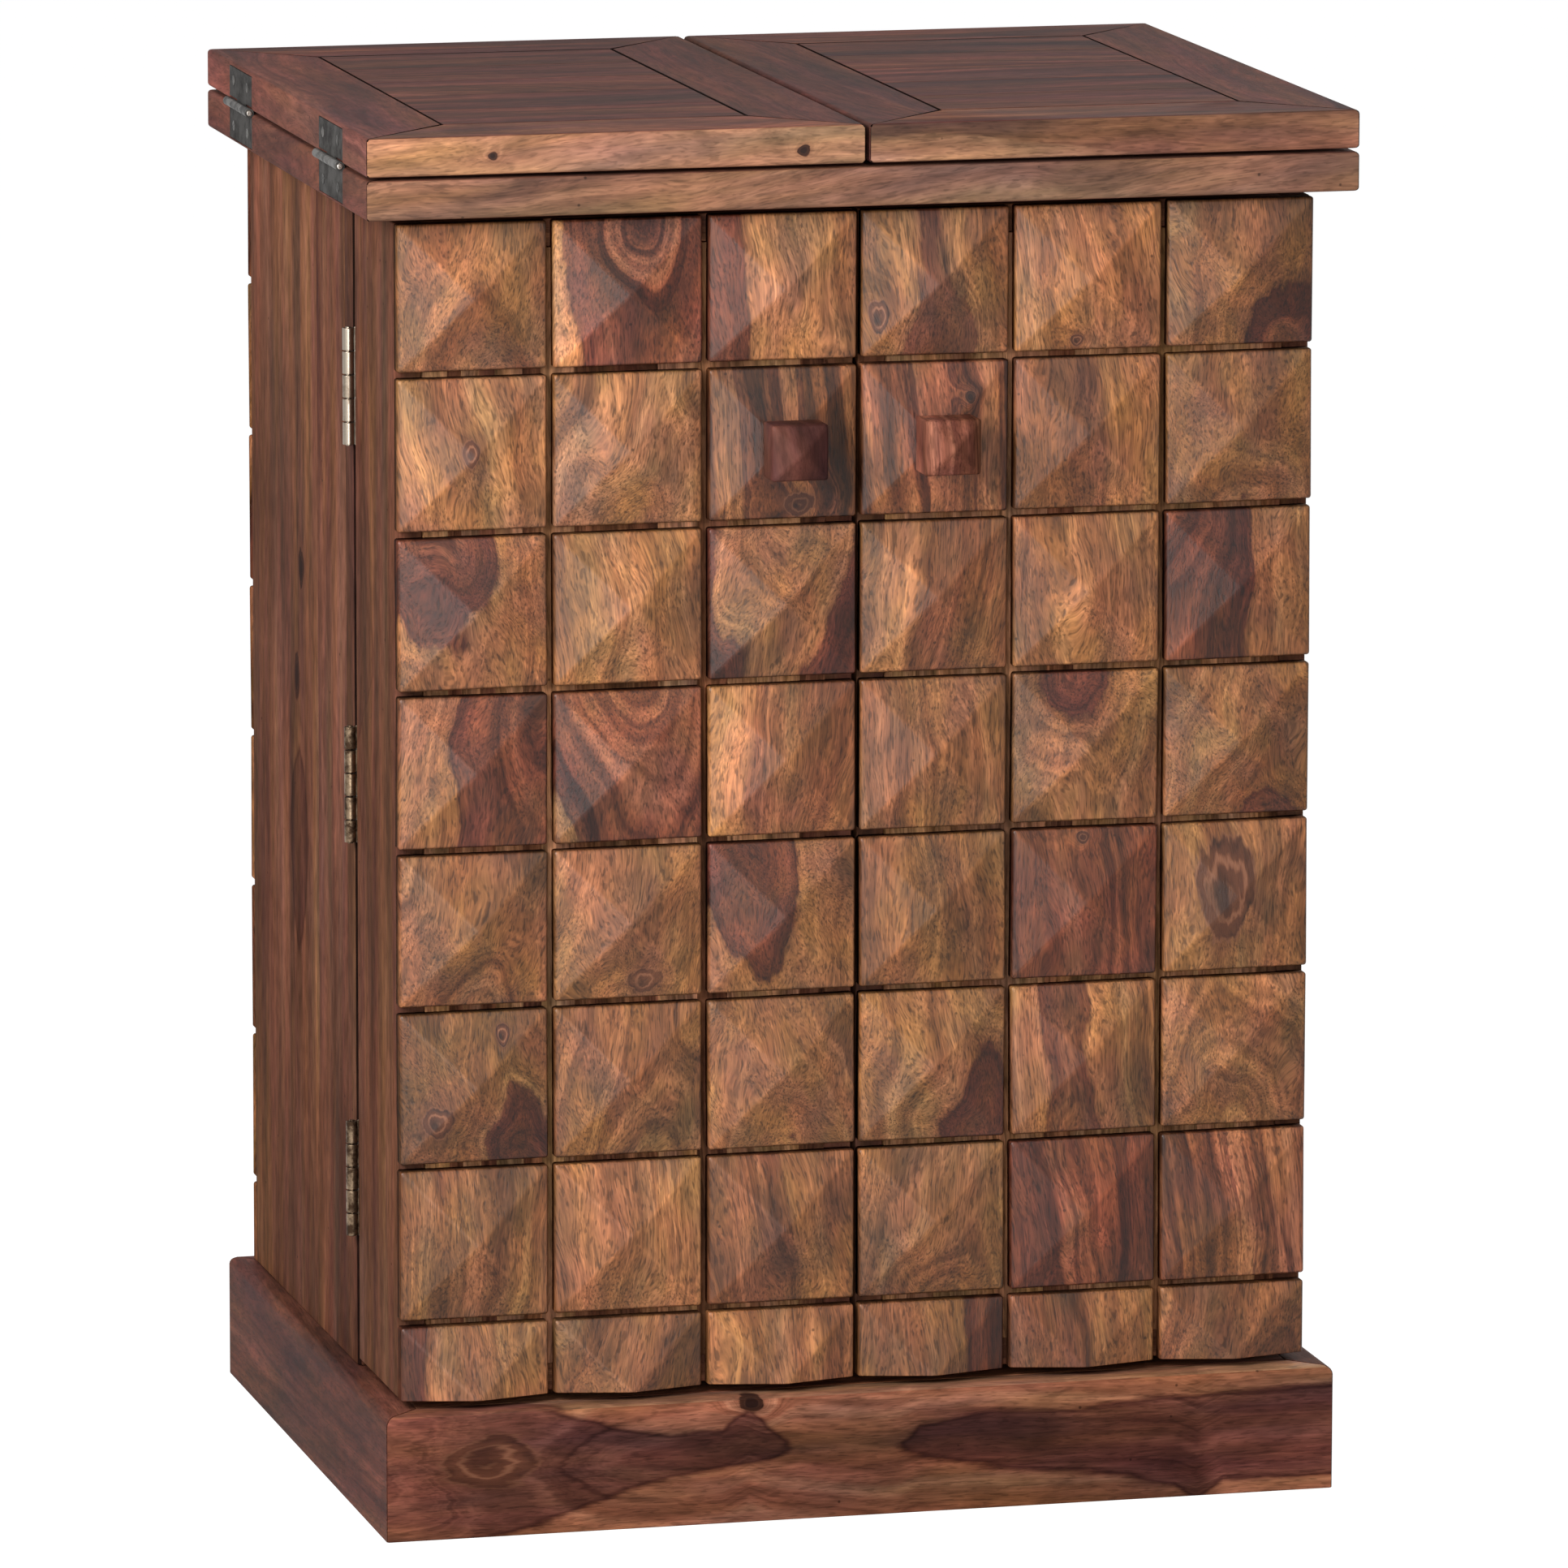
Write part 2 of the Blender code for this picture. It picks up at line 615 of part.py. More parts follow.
def make_door(side, sign):
    axis = pivot(f"{side}_door_axis", (sign * DOOR_AXIS_X, SEAM_Y, (DOOR_BOTTOM + DOOR_TOP) / 2))

    def span(inner, outer):
        return sorted((sign * inner, sign * outer))

    def door_board(piece, across, depth, heights, ease=BOARD_EASE):
        low = (across[0], depth[0], heights[0])
        high = (across[1], depth[1], heights[1])
        return board(f"{side}_door_{piece}", low, high, parent=axis, ease=ease)

    full_depth = (DOOR_FRAME_FRONT, DOOR_BACK)
    full_height = (DOOR_BOTTOM, DOOR_TOP)
    door_board("hinge_stile", span(CASE_HALF - DOOR_BOARD, CASE_HALF), full_depth, full_height)
    door_board("meeting_stile", span(DOOR_INNER, DOOR_INNER + DOOR_BOARD), full_depth, full_height)

    clear = span(DOOR_INNER + DOOR_BOARD + SEAT, CASE_HALF - DOOR_BOARD - SEAT)
    floor = DOOR_BOTTOM + DOOR_BOARD
    ceiling = DOOR_TOP - DOOR_BOARD
    shelf = (floor + ceiling) / 2 - DOOR_BOARD / 2
    door_board("bottom", clear, full_depth, (DOOR_BOTTOM, floor))
    door_board("top_rail", clear, full_depth, (ceiling, DOOR_TOP))
    inner_depth = (DOOR_PANEL_INNER + SEAT, DOOR_BACK)
    door_board("shelf", clear, inner_depth, (shelf, shelf + DOOR_BOARD))
    rail_back = DOOR_BACK - BOTTLE_RAIL_INSET
    for place, bay_floor in (("lower", floor), ("upper", shelf + DOOR_BOARD)):
        raise_to = bay_floor + BOTTLE_RAIL_RAISE
        door_board(
            f"{place}_bottle_rail",
            clear,
            (rail_back - BOTTLE_RAIL_THICKNESS, rail_back),
            (raise_to, raise_to + BOTTLE_RAIL_HEIGHT),
        )
    make_door_front(side, sign, axis, clear, floor, ceiling)
    make_knob(side, sign, axis)
    make_door_hinges(side, sign, axis)


def make_door_front(side, sign, axis, clear, floor, ceiling):
    left, right = sorted((sign * DOOR_INNER, sign * CASE_HALF))
    knob_column = COLUMNS_PER_DOOR - 1 if sign < 0 else 0
    field = block_field(
        f"{side}_door_field", left, right, DOOR_BOTTOM, DOOR_TOP, COLUMNS_PER_DOOR, knob_column
    )
    bmesh.ops.translate(field, vec=(0, BLOCK_FRONT, 0), verts=field.verts)
    block_panel(
        f"{side}_door_front",
        field,
        (clear[0], DOOR_PANEL_INNER - PANEL_THICKNESS, floor + SEAT),
        (clear[1], DOOR_PANEL_INNER, ceiling - SEAT),
        axis,
    )


def make_knob(side, sign, axis):
    """A square knob with a pyramid face, on a round neck that seats on the cut-off point of its block."""
    lower, upper = block_rows(DOOR_BOTTOM, DOOR_TOP)[KNOB_ROW]
    seat_y = BLOCK_FRONT - KNOB_SEAT_RISE - SEAT
    place = (sign * (DOOR_INNER + DOOR_BLOCK_WIDTH / 2), seat_y, (lower + upper) / 2)
    head = box_mesh((KNOB_WIDTH, KNOB_HEAD, KNOB_HEIGHT))
    bmesh.ops.translate(head, vec=(0, -KNOB_NECK - KNOB_HEAD / 2, 0), verts=head.verts)
    round_edges(head, lambda edge: True, KNOB_CHAMFER, 1)
    face = min(head.faces, key=lambda item: item.calc_center_median().y)
    point = bmesh.ops.poke(head, faces=[face])["verts"][0]
    point.co = (0, -KNOB_NECK - KNOB_HEAD - KNOB_POINT, 0)
    knob = add_object(f"{side}_door_knob", head, place, KNOB_WOOD, axis)
    neck = bmesh.new()
    overlap = KNOB_HEAD / 2
    bmesh.ops.create_cone(
        neck,
        cap_ends=True,
        segments=2 * KNUCKLE_SIDES,
        radius1=KNOB_NECK_DIAMETER / 2,
        radius2=KNOB_NECK_DIAMETER / 2,
        depth=KNOB_NECK + overlap,
    )
    lay_down = Matrix.Translation((0, -(KNOB_NECK + overlap) / 2, 0)) @ Matrix.Rotation(pi / 2, 4, "X")
    bmesh.ops.transform(neck, matrix=lay_down, verts=neck.verts)
    boolean(knob, add_object(f"{side}_knob_neck", neck, place, KNOB_WOOD), "UNION")


def make_door_hinges(side, sign, door_axis):
    hinge = {
        "length": DOOR_HINGE_LENGTH,
        "knuckles": DOOR_HINGE_KNUCKLES,
        "radius": DOOR_KNUCKLE_RADIUS,
        "pin": DOOR_PIN_RADIUS,
        "plate": DOOR_HINGE_PLATE,
        "tab_end": (DOOR_PIN_RADIUS + PIN_CLEARANCE + DOOR_KNUCKLE_RADIUS) / 2,
    }
    lowest = DOOR_BOTTOM + DOOR_HINGE_INSET
    highest = DOOR_TOP - DOOR_HINGE_INSET
    inward = (-sign, 0, 0)
    for i in range(DOOR_HINGES):
        z = lowest + (highest - lowest) * i / (DOOR_HINGES - 1)
        place = (sign * DOOR_AXIS_X, SEAM_Y, z)
        for half, depth, thickness, fixed, parent in (
            ("case", 1, SIDE_THICKNESS, True, None),
            ("door", -1, DOOR_BOARD, False, door_axis),
        ):
            hinge_half(
                f"{side}_door_hinge_{i + 1}_{half}_plate",
                hinge,
                place,
                axes_frame(inward, (0, depth, 0), (0, 0, 1)),
                DOOR_PLATE_GAP / 2,
                DOOR_AXIS_X - CASE_HALF + thickness - DOOR_PLATE_MARGIN,
                fixed,
                WORN_STEEL,
                parent,
            )


make_plinth()
make_case()
make_stemware_rack()
make_door_catch()
make_fixed_top()
for side_name, side_sign in SIDES.items():
    make_leaf(side_name, side_sign)
    make_door(side_name, side_sign)
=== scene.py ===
import json
import math
import random
from functools import partial

import bmesh
import bpy
from mathutils import Matrix, Vector

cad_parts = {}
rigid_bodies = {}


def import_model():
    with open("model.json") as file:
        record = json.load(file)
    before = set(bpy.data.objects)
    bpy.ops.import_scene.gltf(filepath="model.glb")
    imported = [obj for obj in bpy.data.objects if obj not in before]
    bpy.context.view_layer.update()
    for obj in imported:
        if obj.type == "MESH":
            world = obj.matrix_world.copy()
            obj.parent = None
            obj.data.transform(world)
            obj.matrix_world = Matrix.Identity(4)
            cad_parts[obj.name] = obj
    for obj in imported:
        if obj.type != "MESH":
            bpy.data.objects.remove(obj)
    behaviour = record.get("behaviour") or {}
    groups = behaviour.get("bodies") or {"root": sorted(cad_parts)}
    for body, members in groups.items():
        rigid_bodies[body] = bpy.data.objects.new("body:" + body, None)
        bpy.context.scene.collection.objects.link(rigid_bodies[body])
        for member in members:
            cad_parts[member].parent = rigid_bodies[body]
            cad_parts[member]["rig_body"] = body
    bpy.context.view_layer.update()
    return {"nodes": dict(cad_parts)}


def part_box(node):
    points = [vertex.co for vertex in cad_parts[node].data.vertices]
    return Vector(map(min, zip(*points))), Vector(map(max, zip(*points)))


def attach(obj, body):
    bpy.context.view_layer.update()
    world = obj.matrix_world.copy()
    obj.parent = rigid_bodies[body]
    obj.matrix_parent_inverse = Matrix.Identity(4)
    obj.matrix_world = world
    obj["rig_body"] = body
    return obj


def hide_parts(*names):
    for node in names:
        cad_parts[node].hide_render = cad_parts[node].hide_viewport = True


for leftover in list(bpy.data.objects):  # a start-up file's own cube, lamp and camera
    bpy.data.objects.remove(leftover)
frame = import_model()
mm = 0.001
touch = 0.1 * mm  # what lies closer is at the same place
axisX, axisY, axisZ = Vector((1, 0, 0)), Vector((0, 1, 0)), Vector((0, 0, 1))
sides = {"left": -1, "right": 1}
print("frame loaded,", len(frame["nodes"]), "nodes")


# modelling helpers

def pickOnly(*pieces):
    if bpy.context.mode != "OBJECT":
        bpy.ops.object.mode_set(mode="OBJECT")
    bpy.ops.object.select_all(action="DESELECT")
    for piece in pieces:
        piece.select_set(True)
    bpy.context.view_layer.objects.active = pieces[0] if pieces else None


def takeUp(name):  # names what was just added and puts its place into its mesh
    piece = bpy.context.object
    piece.name = piece.data.name = name
    bpy.ops.object.transform_apply(location=True, rotation=True, scale=True)
    return piece


def addBlank(name, low, high):
    pickOnly()
    bpy.ops.mesh.primitive_cube_add(size=1, location=(low + high) / 2, scale=high - low)
    return takeUp(name)


def addRod(name, middle, along, length, radius, facets=40):
    pickOnly()
    turn = axisZ.rotation_difference(along).to_euler()
    bpy.ops.mesh.primitive_cylinder_add(
        vertices=facets, radius=radius, depth=length, location=middle, rotation=turn
    )
    return takeUp(name)


def choose(piece, kind, test):  # stays in edit mode, with only what passes the test selected
    pickOnly(piece)
    bpy.ops.object.mode_set(mode="EDIT")
    bpy.ops.mesh.select_mode(type=kind)
    bpy.ops.mesh.select_all(action="DESELECT")
    cage = bmesh.from_edit_mesh(piece.data)
    for part in {"EDGE": cage.edges, "FACE": cage.faces}[kind]:
        if test(part):
            part.select_set(True)
    bmesh.update_edit_mesh(piece.data)


def middleOf(part):
    return sum((point.co for point in part.verts), Vector()) / len(part.verts)


def runsAlong(edge, axis):
    return abs((edge.verts[1].co - edge.verts[0].co).normalized().dot(axis)) > 0.99


def saw(piece, point, away):  # cuts off what lies beyond the point and closes the cut
    choose(piece, "FACE", lambda face: True)
    bpy.ops.mesh.bisect(plane_co=point, plane_no=away, use_fill=True, clear_outer=True)
    bpy.ops.object.mode_set(mode="OBJECT")


def applyAll(piece):
    pickOnly(piece)
    for step in [modifier.name for modifier in piece.modifiers]:
        bpy.ops.object.modifier_apply(modifier=step)


sharpEdge = math.radians(35)


def settle(piece, ease, segments=2):  # eases sharp edges, then shades the flats flat and the rounds round
    pickOnly(piece)
    bpy.ops.object.shade_smooth()
    if ease:
        soft = piece.modifiers.new("ease", "BEVEL")
        soft.width = ease
        soft.segments = segments
        soft.limit_method = "ANGLE"
        soft.angle_limit = sharpEdge
    piece.modifiers.new("evenShade", "WEIGHTED_NORMAL")
    applyAll(piece)


def cutBy(piece, cutter):
    chop = piece.modifiers.new("chop", "BOOLEAN")
    chop.operation = "DIFFERENCE"
    chop.object = cutter
    applyAll(piece)
    bpy.data.objects.remove(cutter)


def cutOut(piece, low, high):  # a mortise
    cutBy(piece, addBlank("mortise", low, high))


def copyOf(piece, name, move):
    pickOnly(piece)
    bpy.ops.object.duplicate(linked=False)
    twin = bpy.context.object
    twin.name = twin.data.name = name
    twin.data.transform(move)
    return twin


def joinUp(name, *pieces):
    pickOnly(*pieces)
    if len(pieces) > 1:
        bpy.ops.object.join()
    pieces[0].name = pieces[0].data.name = name
    return pieces[0]


def install(piece, node):  # the piece stands for the node and moves with its body
    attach(piece, frame["nodes"][node]["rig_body"])
    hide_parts(node)
    return piece


# node helpers

def toLinear(code):  # sRGB hex to linear
    parts = [int(code[i:i + 2], 16) / 255 for i in (1, 3, 5)]
    return [p / 12.92 if p <= 0.04045 else ((p + 0.055) / 1.055) ** 2.4 for p in parts] + [1]


def addNode(tree, kind, inputs, give=0, stops=(), **settings):
    node = tree.nodes.new("ShaderNode" + kind)
    for name, value in settings.items():
        setattr(node, name, value)
    for i, (spot, colour) in enumerate(stops):
        stop = node.color_ramp.elements[i] if i < 2 else node.color_ramp.elements.new(spot)
        stop.position = spot
        stop.color = toLinear(colour)
    for name, value in inputs.items():
        if isinstance(value, bpy.types.NodeSocket):
            tree.links.new(value, node.inputs[name])
        else:
            node.inputs[name].default_value = value
    return node.outputs[give] if len(node.outputs) else node


def newMaterial(name):
    material = bpy.data.materials.new(name)
    material.use_nodes = True
    tree = material.node_tree
    return material, partial(addNode, tree), tree.nodes["Principled BSDF"].inputs, tree.links.new


# Sheesham, planed, stained and waxed: honey sapwood and red-brown to purple heartwood in one tree,
# irregular growth bands with dark veins, short dark pores along the fibre, knots, a low even shine.
# Of the attributes, "grain" is a point's place in its own tree, where the pith is the z axis.
vectorLayers = ("grain", "tone", "knot", "secondKnot", "knotTone", "rim", "sway")
woodSizes = {  # millimetres, across the fibre and along it
    "bend": (55, 230),
    "curl": (24, 62),
    "band": (17, 400), "vein": (5.5, 220), "line": (1.8, 130),
    "rag": (6, 40), "ragBy": 8,
    "mottle": (6, 22),
    "heartFade": 1.0, "heartLine": 2.0, "bruise": 7,
    "fibre": (1.1, 20),  # real fibres are finer than a pixel, so they are drawn coarser
    "pore": (1.4, 9),  # as are the pores
    "pin": (24, 24), "pinRadius": 1.0,
    "knotPush": 16,
    "ridge": 1.3, "toRidge": 35,  # from the middle of a block's side to its ridge
}
# pale and heart run from the dark bands to the light ones; bend and curl are how far the grain strays,
# cloud is the size of its patches, both in mm, grit the depth of fibres and pores, line that of the fine
# lines, edge that of the line round the heart, bruise how purple the heart is inside it; wide makes the
# bands and lines that much wider
rampSpots = (0.28, 0.44, 0.56, 0.74)
woodLooks = {
    "sheeshamBlocks": {
        "pale": ("#6A422A", "#895C3E", "#9B6B49", "#B3835C"),
        "heart": ("#341E17", "#583224", "#6F412F", "#8B5942"),
        "rough": (0.34, 0.46), "shine": 0.3, "vein": 0.8, "curl": 14, "line": 0.22,
        "bend": 32, "cloud": (30, 70), "grit": 1.4,
    },
    "sheeshamEdge": {
        "pale": ("#74533E", "#946D56", "#A57B63", "#B68F74"),
        "heart": ("#472B24", "#664135", "#7D5241", "#986C58"),
        "rough": (0.5, 0.65), "shine": 0.2, "vein": 0.4, "curl": 9, "line": 0.13,
        "bend": 30, "cloud": (28, 160), "grit": 0.8,
    },
    "sheeshamTop": {
        "pale": ("#4F322B", "#714A3F", "#84584A", "#996C5D"),
        "heart": ("#38211E", "#56352F", "#68413A", "#80534B"),
        "rough": (0.7, 0.85), "shine": 0.13, "vein": 0.5, "curl": 9, "line": 0.13,
        "bend": 42, "cloud": (28, 260), "grit": 0.7,
    },
    "sheeshamCase": {
        "pale": ("#56392D", "#714C3C", "#815846", "#946B57"),
        "heart": ("#42291F", "#5E3D31", "#6F4B3D", "#855E4E"),
        "rough": (0.7, 0.85), "shine": 0.03, "vein": 0.16, "curl": 9, "line": 0.06,
        "bend": 42, "cloud": (22, 330), "grit": 0.5, "wide": 2, "bruise": 0.5,
    },
    "sheeshamPlinth": {
        "pale": ("#6C4633", "#8C5A46", "#9D6953", "#B18067"),
        "heart": ("#422722", "#623B33", "#74493F", "#8B5C4F"),
        "rough": (0.55, 0.7), "shine": 0.06, "vein": 0.55, "curl": 4, "line": 0.16,
        "bend": 5, "cloud": (28, 160), "grit": 0.8, "knotPush": 48, "edge": 1, "bruise": 0.4,
    },
    "sheeshamInner": {
        "pale": ("#6B4A33", "#93694A", "#A87C59", "#BB906B"),
        "heart": ("#44291F", "#64402F", "#7A503C", "#92674E"),
        "rough": (0.6, 0.75), "shine": 0.12, "vein": 0.5, "curl": 9, "line": 0.13,
        "bend": 42, "cloud": (28, 260), "grit": 0.8,
    },
    # lightened as painted light: the groove floors that show it lie in the blocks' shade
    "sheeshamCarrier": {
        "pale": ("#755037", "#9C7253", "#B28564", "#C89C77"),
        "heart": ("#3E271E", "#63402F", "#7B533E", "#996B50"),
        "rough": (0.7, 0.85), "shine": 0.05, "vein": 0.7, "curl": 5, "line": 0.42,
        "bend": 30, "cloud": (24, 200), "grit": 0.8,
    },
    "sheeshamLining": {
        "pale": ("#593A29", "#7B533C", "#8E6347", "#A37858"),
        "heart": ("#4A2E22", "#6B4533", "#7F543F", "#966A51"),
        "rough": (0.6, 0.75), "shine": 0.12, "vein": 0.4, "curl": 9, "line": 0.13,
        "bend": 42, "cloud": (28, 260), "grit": 0.8,
    },
    "sheeshamKnobs": {
        "pale": ("#4C2F29", "#674238", "#785044", "#906556"),
        "heart": ("#3A211F", "#52322D", "#613D37", "#734E46"),
        "rough": (0.5, 0.6), "shine": 0.08, "vein": 0.3, "curl": 5, "line": 0.05,
        "bend": 20, "cloud": (28, 70), "grit": 0.35,
    },
}
jointAndGapShadeTone = ("#1E1210",) * len(rampSpots)  # glue and dirt in open joints, and painted shade in the gap along each door
woodTints = {  # what the colour is multiplied by, pink to olive in the blush, orange to grey in the clouds
    "bruise": (0.74, 0.68, 0.82), "vein": (0.42, 0.37, 0.4),
    "blush": ((1.05, 0.96, 1.06, 1), (0.97, 1.03, 0.86, 1)),
    "cloud": ((1.36, 1.2, 1.02, 1), (0.58, 0.6, 0.66, 1)),
}
knotTones = {
    "rings": ((0.0, "#553224"), (0.6, "#754A36"), (1.0, "#8A5C45")), "halo": "#5E3829", "eye": "#22110D",
}
woodLooks["sheeshamJoints"] = dict(woodLooks["sheeshamTop"], pale=jointAndGapShadeTone, heart=jointAndGapShadeTone, shine=0.02)
woodLooks["sheeshamWalls"] = dict(woodLooks["sheeshamBlocks"], rough=(0.7, 0.85), shine=0.04)  # only sawn


def sheesham(name, look):
    material, add, shader, link = newMaterial(name)
    layers = {layer: add("Attribute", {}, "Vector", attribute_name=layer) for layer in vectorLayers}
    place = layers["grain"]
    heartRadius, stripe, light = add("SeparateXYZ", {0: layers["tone"]}).node.outputs
    rimU, rimV, bloom = add("SeparateXYZ", {0: layers["rim"]}).node.outputs
    *strengths, pithAside = add("SeparateXYZ", {0: layers["knotTone"]}).node.outputs

    def fibreSpace(pattern, spot=place):  # the grain counted in pattern lengths
        across, along = look["cloud"] if pattern == "cloud" else woodSizes[pattern]
        counts = (1 / (across * mm), 1 / (across * mm), 1 / (along * mm))
        return add("VectorMath", {0: spot, 1: counts}, operation="MULTIPLY")

    def bell(value, middle, width):  # 1 at the middle, fading to both sides
        gap = add("Math", {0: value, 1: middle}, operation="SUBTRACT")
        gap = add("Math", {0: gap, 1: 1 / width}, operation="MULTIPLY")
        square = add("Math", {0: gap, 1: gap}, operation="MULTIPLY")
        fall = add("Math", {0: square, 1: -1}, operation="MULTIPLY")
        return add("Math", {0: fall}, operation="EXPONENT")

    # growth rings: distance to a pith that wanders and curls, pushed aside by the knots
    bent = place
    for pattern in ("bend", "curl"):
        swing = add("TexNoise", {"Vector": fibreSpace(pattern), "Scale": 1, "Detail": 1}, "Color")
        swing = add("VectorMath", {0: swing, 1: (0.5, 0.5, 0.5)}, operation="SUBTRACT")
        swing = add("VectorMath", {0: swing, 1: layers["sway"]}, operation="MULTIPLY")
        reach = (look[pattern] * mm,) * 3
        bent = add("VectorMath", {0: swing, 1: reach, 2: bent}, operation="MULTIPLY_ADD")
    pith = add("CombineXYZ", {"X": pithAside})
    trunk = add("VectorMath", {0: bent, 1: pith}, operation="SUBTRACT")
    trunk = add("VectorMath", {0: trunk, 1: (1, 1, 0)}, operation="MULTIPLY")
    rings = heartRings = add("VectorMath", {0: trunk}, "Value", operation="LENGTH")
    rag = add("TexNoise", {"Vector": fibreSpace("rag"), "Scale": 1, "Detail": 3, "Roughness": 0.6}, "Color")
    ragged = add("VectorMath", {0: rag, 1: (0.5, 0.5, 0.5)}, operation="SUBTRACT")
    raggedX, raggedY, raggedZ = add("SeparateXYZ", {0: ragged}).node.outputs
    knotPush = look.get("knotPush", woodSizes["knotPush"]) * mm
    knotSpots = []
    for layer in ("knot", "secondKnot"):  # drawn out to a point at one end
        knotX, knotY, knotZ = add("SeparateXYZ", {0: layers[layer]}).node.outputs
        taper = add("MapRange", {0: knotZ, 1: -1.3, 2: 1.3, 3: 0.55, 4: 1.2})
        knotX = add("Math", {0: knotX, 1: taper}, operation="DIVIDE")
        knotPlace = add("CombineXYZ", {"X": knotX, "Y": knotY, "Z": knotZ})
        knotSpot = add("VectorMath", {0: ragged, 1: (0.8, 0.8, 0.8), 2: knotPlace}, operation="MULTIPLY_ADD")
        knotGap = add("VectorMath", {0: knotSpot}, "Value", operation="LENGTH")
        rings = add("Math", {0: bell(knotGap, 0, 2.1), 1: knotPush, 2: rings}, operation="MULTIPLY_ADD")
        knotSpots.append((knotSpot, knotGap))

    # bands, veins and fine lines follow the rings and change slowly along the tree
    along = add("SeparateXYZ", {0: place}, "Z")
    figure = {}
    for layer, (pattern, detail) in enumerate((("band", 2.5), ("vein", 2), ("line", 1))):
        across, length = woodSizes[pattern]
        count = add("Math", {0: rings, 1: 1 / (across * look.get("wide", 1) * mm)}, operation="MULTIPLY")
        slow = add("Math", {0: along, 1: 1 / (length * mm)}, operation="MULTIPLY")
        spot = add("CombineXYZ", {"X": count, "Y": layer * 7.3, "Z": slow})
        figure[pattern] = add("TexNoise", {"Vector": spot, "Scale": 1, "Detail": detail, "Roughness": 0.55})
    swing = add("Math", {0: figure["band"], 1: 0.5}, operation="SUBTRACT")
    level = add("Math", {0: swing, 1: stripe, 2: 0.52}, operation="MULTIPLY_ADD")
    pale = add("ValToRGB", {0: level}, stops=zip(rampSpots, look["pale"]))
    heart = add("ValToRGB", {0: level}, stops=zip(rampSpots, look["heart"]))

    # heartwood has a ragged border with a dark line, and is bruised purple inside it
    turned = add("Math", {0: heartRadius}, operation="SIGN")  # a radius below 0 turns the heart inside out
    ringSide = add("Math", {0: heartRings, 1: turned}, operation="MULTIPLY")
    inside = add("Math", {0: heartRadius, 1: ringSide}, operation="SUBTRACT")
    border = add("Math", {0: raggedX, 1: woodSizes["ragBy"] * mm, 2: inside}, operation="MULTIPLY_ADD")
    fade = woodSizes["heartFade"] * mm
    heartShare = add("MapRange", {0: border, 1: -fade, 2: fade}, interpolation_type="SMOOTHSTEP")
    heartShare = add("Math", {0: heartShare, 1: bloom}, operation="MULTIPLY")
    colour = add("Mix", {0: heartShare, 6: pale, 7: heart}, 2, data_type="RGBA")
    bruise = bell(border, woodSizes["bruise"] * mm, woodSizes["bruise"] * mm)
    bruise = add("Math", {0: bruise, 1: bloom}, operation="MULTIPLY")
    bruise = add("Math", {0: bruise, 1: look.get("bruise", 0.9)}, operation="MULTIPLY")
    bruised = add("VectorMath", {0: colour, 1: woodTints["bruise"]}, operation="MULTIPLY")
    colour = add("Mix", {0: bruise, 6: colour, 7: bruised}, 2, data_type="RGBA")
    borderLine = bell(border, 0, woodSizes["heartLine"] * mm)
    borderLine = add("Math", {0: borderLine, 1: bloom}, operation="MULTIPLY")

    # veins, weaker in the pale wood, and patches that lean to orange or to grey
    veins = add("MapRange", {0: figure["vein"], 1: 0.5, 2: 0.68}, interpolation_type="SMOOTHSTEP")
    for depth in (stripe, look["vein"], add("MapRange", {0: heartShare, 3: 0.5, 4: 1})):
        veins = add("Math", {0: veins, 1: depth}, operation="MULTIPLY")
    edgeDepth = look.get("edge", 0.65)
    veins = add("Math", {0: borderLine, 1: edgeDepth, 2: veins}, operation="MULTIPLY_ADD", use_clamp=True)
    veined = add("VectorMath", {0: colour, 1: woodTints["vein"]}, operation="MULTIPLY")
    colour = add("Mix", {0: veins, 6: colour, 7: veined}, 2, data_type="RGBA")
    patches = {"Vector": fibreSpace("cloud"), "Scale": 1, "Detail": 2.5, "Roughness": 0.55}
    cloud, blush = add("SeparateXYZ", {0: add("TexNoise", patches, "Color")}).node.outputs[:2]
    blush = add("MapRange", {0: blush, 1: 0.35, 2: 0.65})
    cloud = add("MapRange", {0: cloud, 1: 0.3, 2: 0.7})
    for share, (first, last) in ((blush, woodTints["blush"]), (cloud, woodTints["cloud"])):
        tint = add("Mix", {0: share, 6: first, 7: last}, 2, data_type="RGBA")
        colour = add("VectorMath", {0: colour, 1: tint}, operation="MULTIPLY")

    # mottle, fibres and pores
    mottle = add("TexNoise", {"Vector": fibreSpace("mottle", bent), "Scale": 1, "Detail": 2})
    fibre = add("TexNoise", {"Vector": fibreSpace("fibre", bent), "Scale": 1, "Detail": 2})
    poreNoise = add("TexNoise", {"Vector": fibreSpace("pore", bent), "Scale": 1, "Detail": 1})
    pores = add("MapRange", {0: poreNoise, 1: 0.55, 2: 0.66})
    pinGap = add("TexVoronoi", {"Vector": fibreSpace("pin"), "Scale": 1}, "Distance")
    pinSize = woodSizes["pinRadius"] / woodSizes["pin"][0]
    line, grit = look["line"], look["grit"]
    shades = [
        add("MapRange", {0: mottle, 1: 0.3, 2: 0.7, 3: 0.72, 4: 1.26}),
        add("MapRange", {0: figure["line"], 1: 0.3, 2: 0.7, 3: 1 - line, 4: 1 + line}),
        add("MapRange", {0: fibre, 1: 0.25, 2: 0.75, 3: 1 - 0.32 * grit, 4: 1 + 0.3 * grit}),
        add("MapRange", {0: pores, 3: 1, 4: 1 - 0.36 * grit}),
        add("MapRange", {0: pinGap, 1: pinSize * 0.7, 2: pinSize * 1.3, 3: 0.35, 4: 1}),
    ]
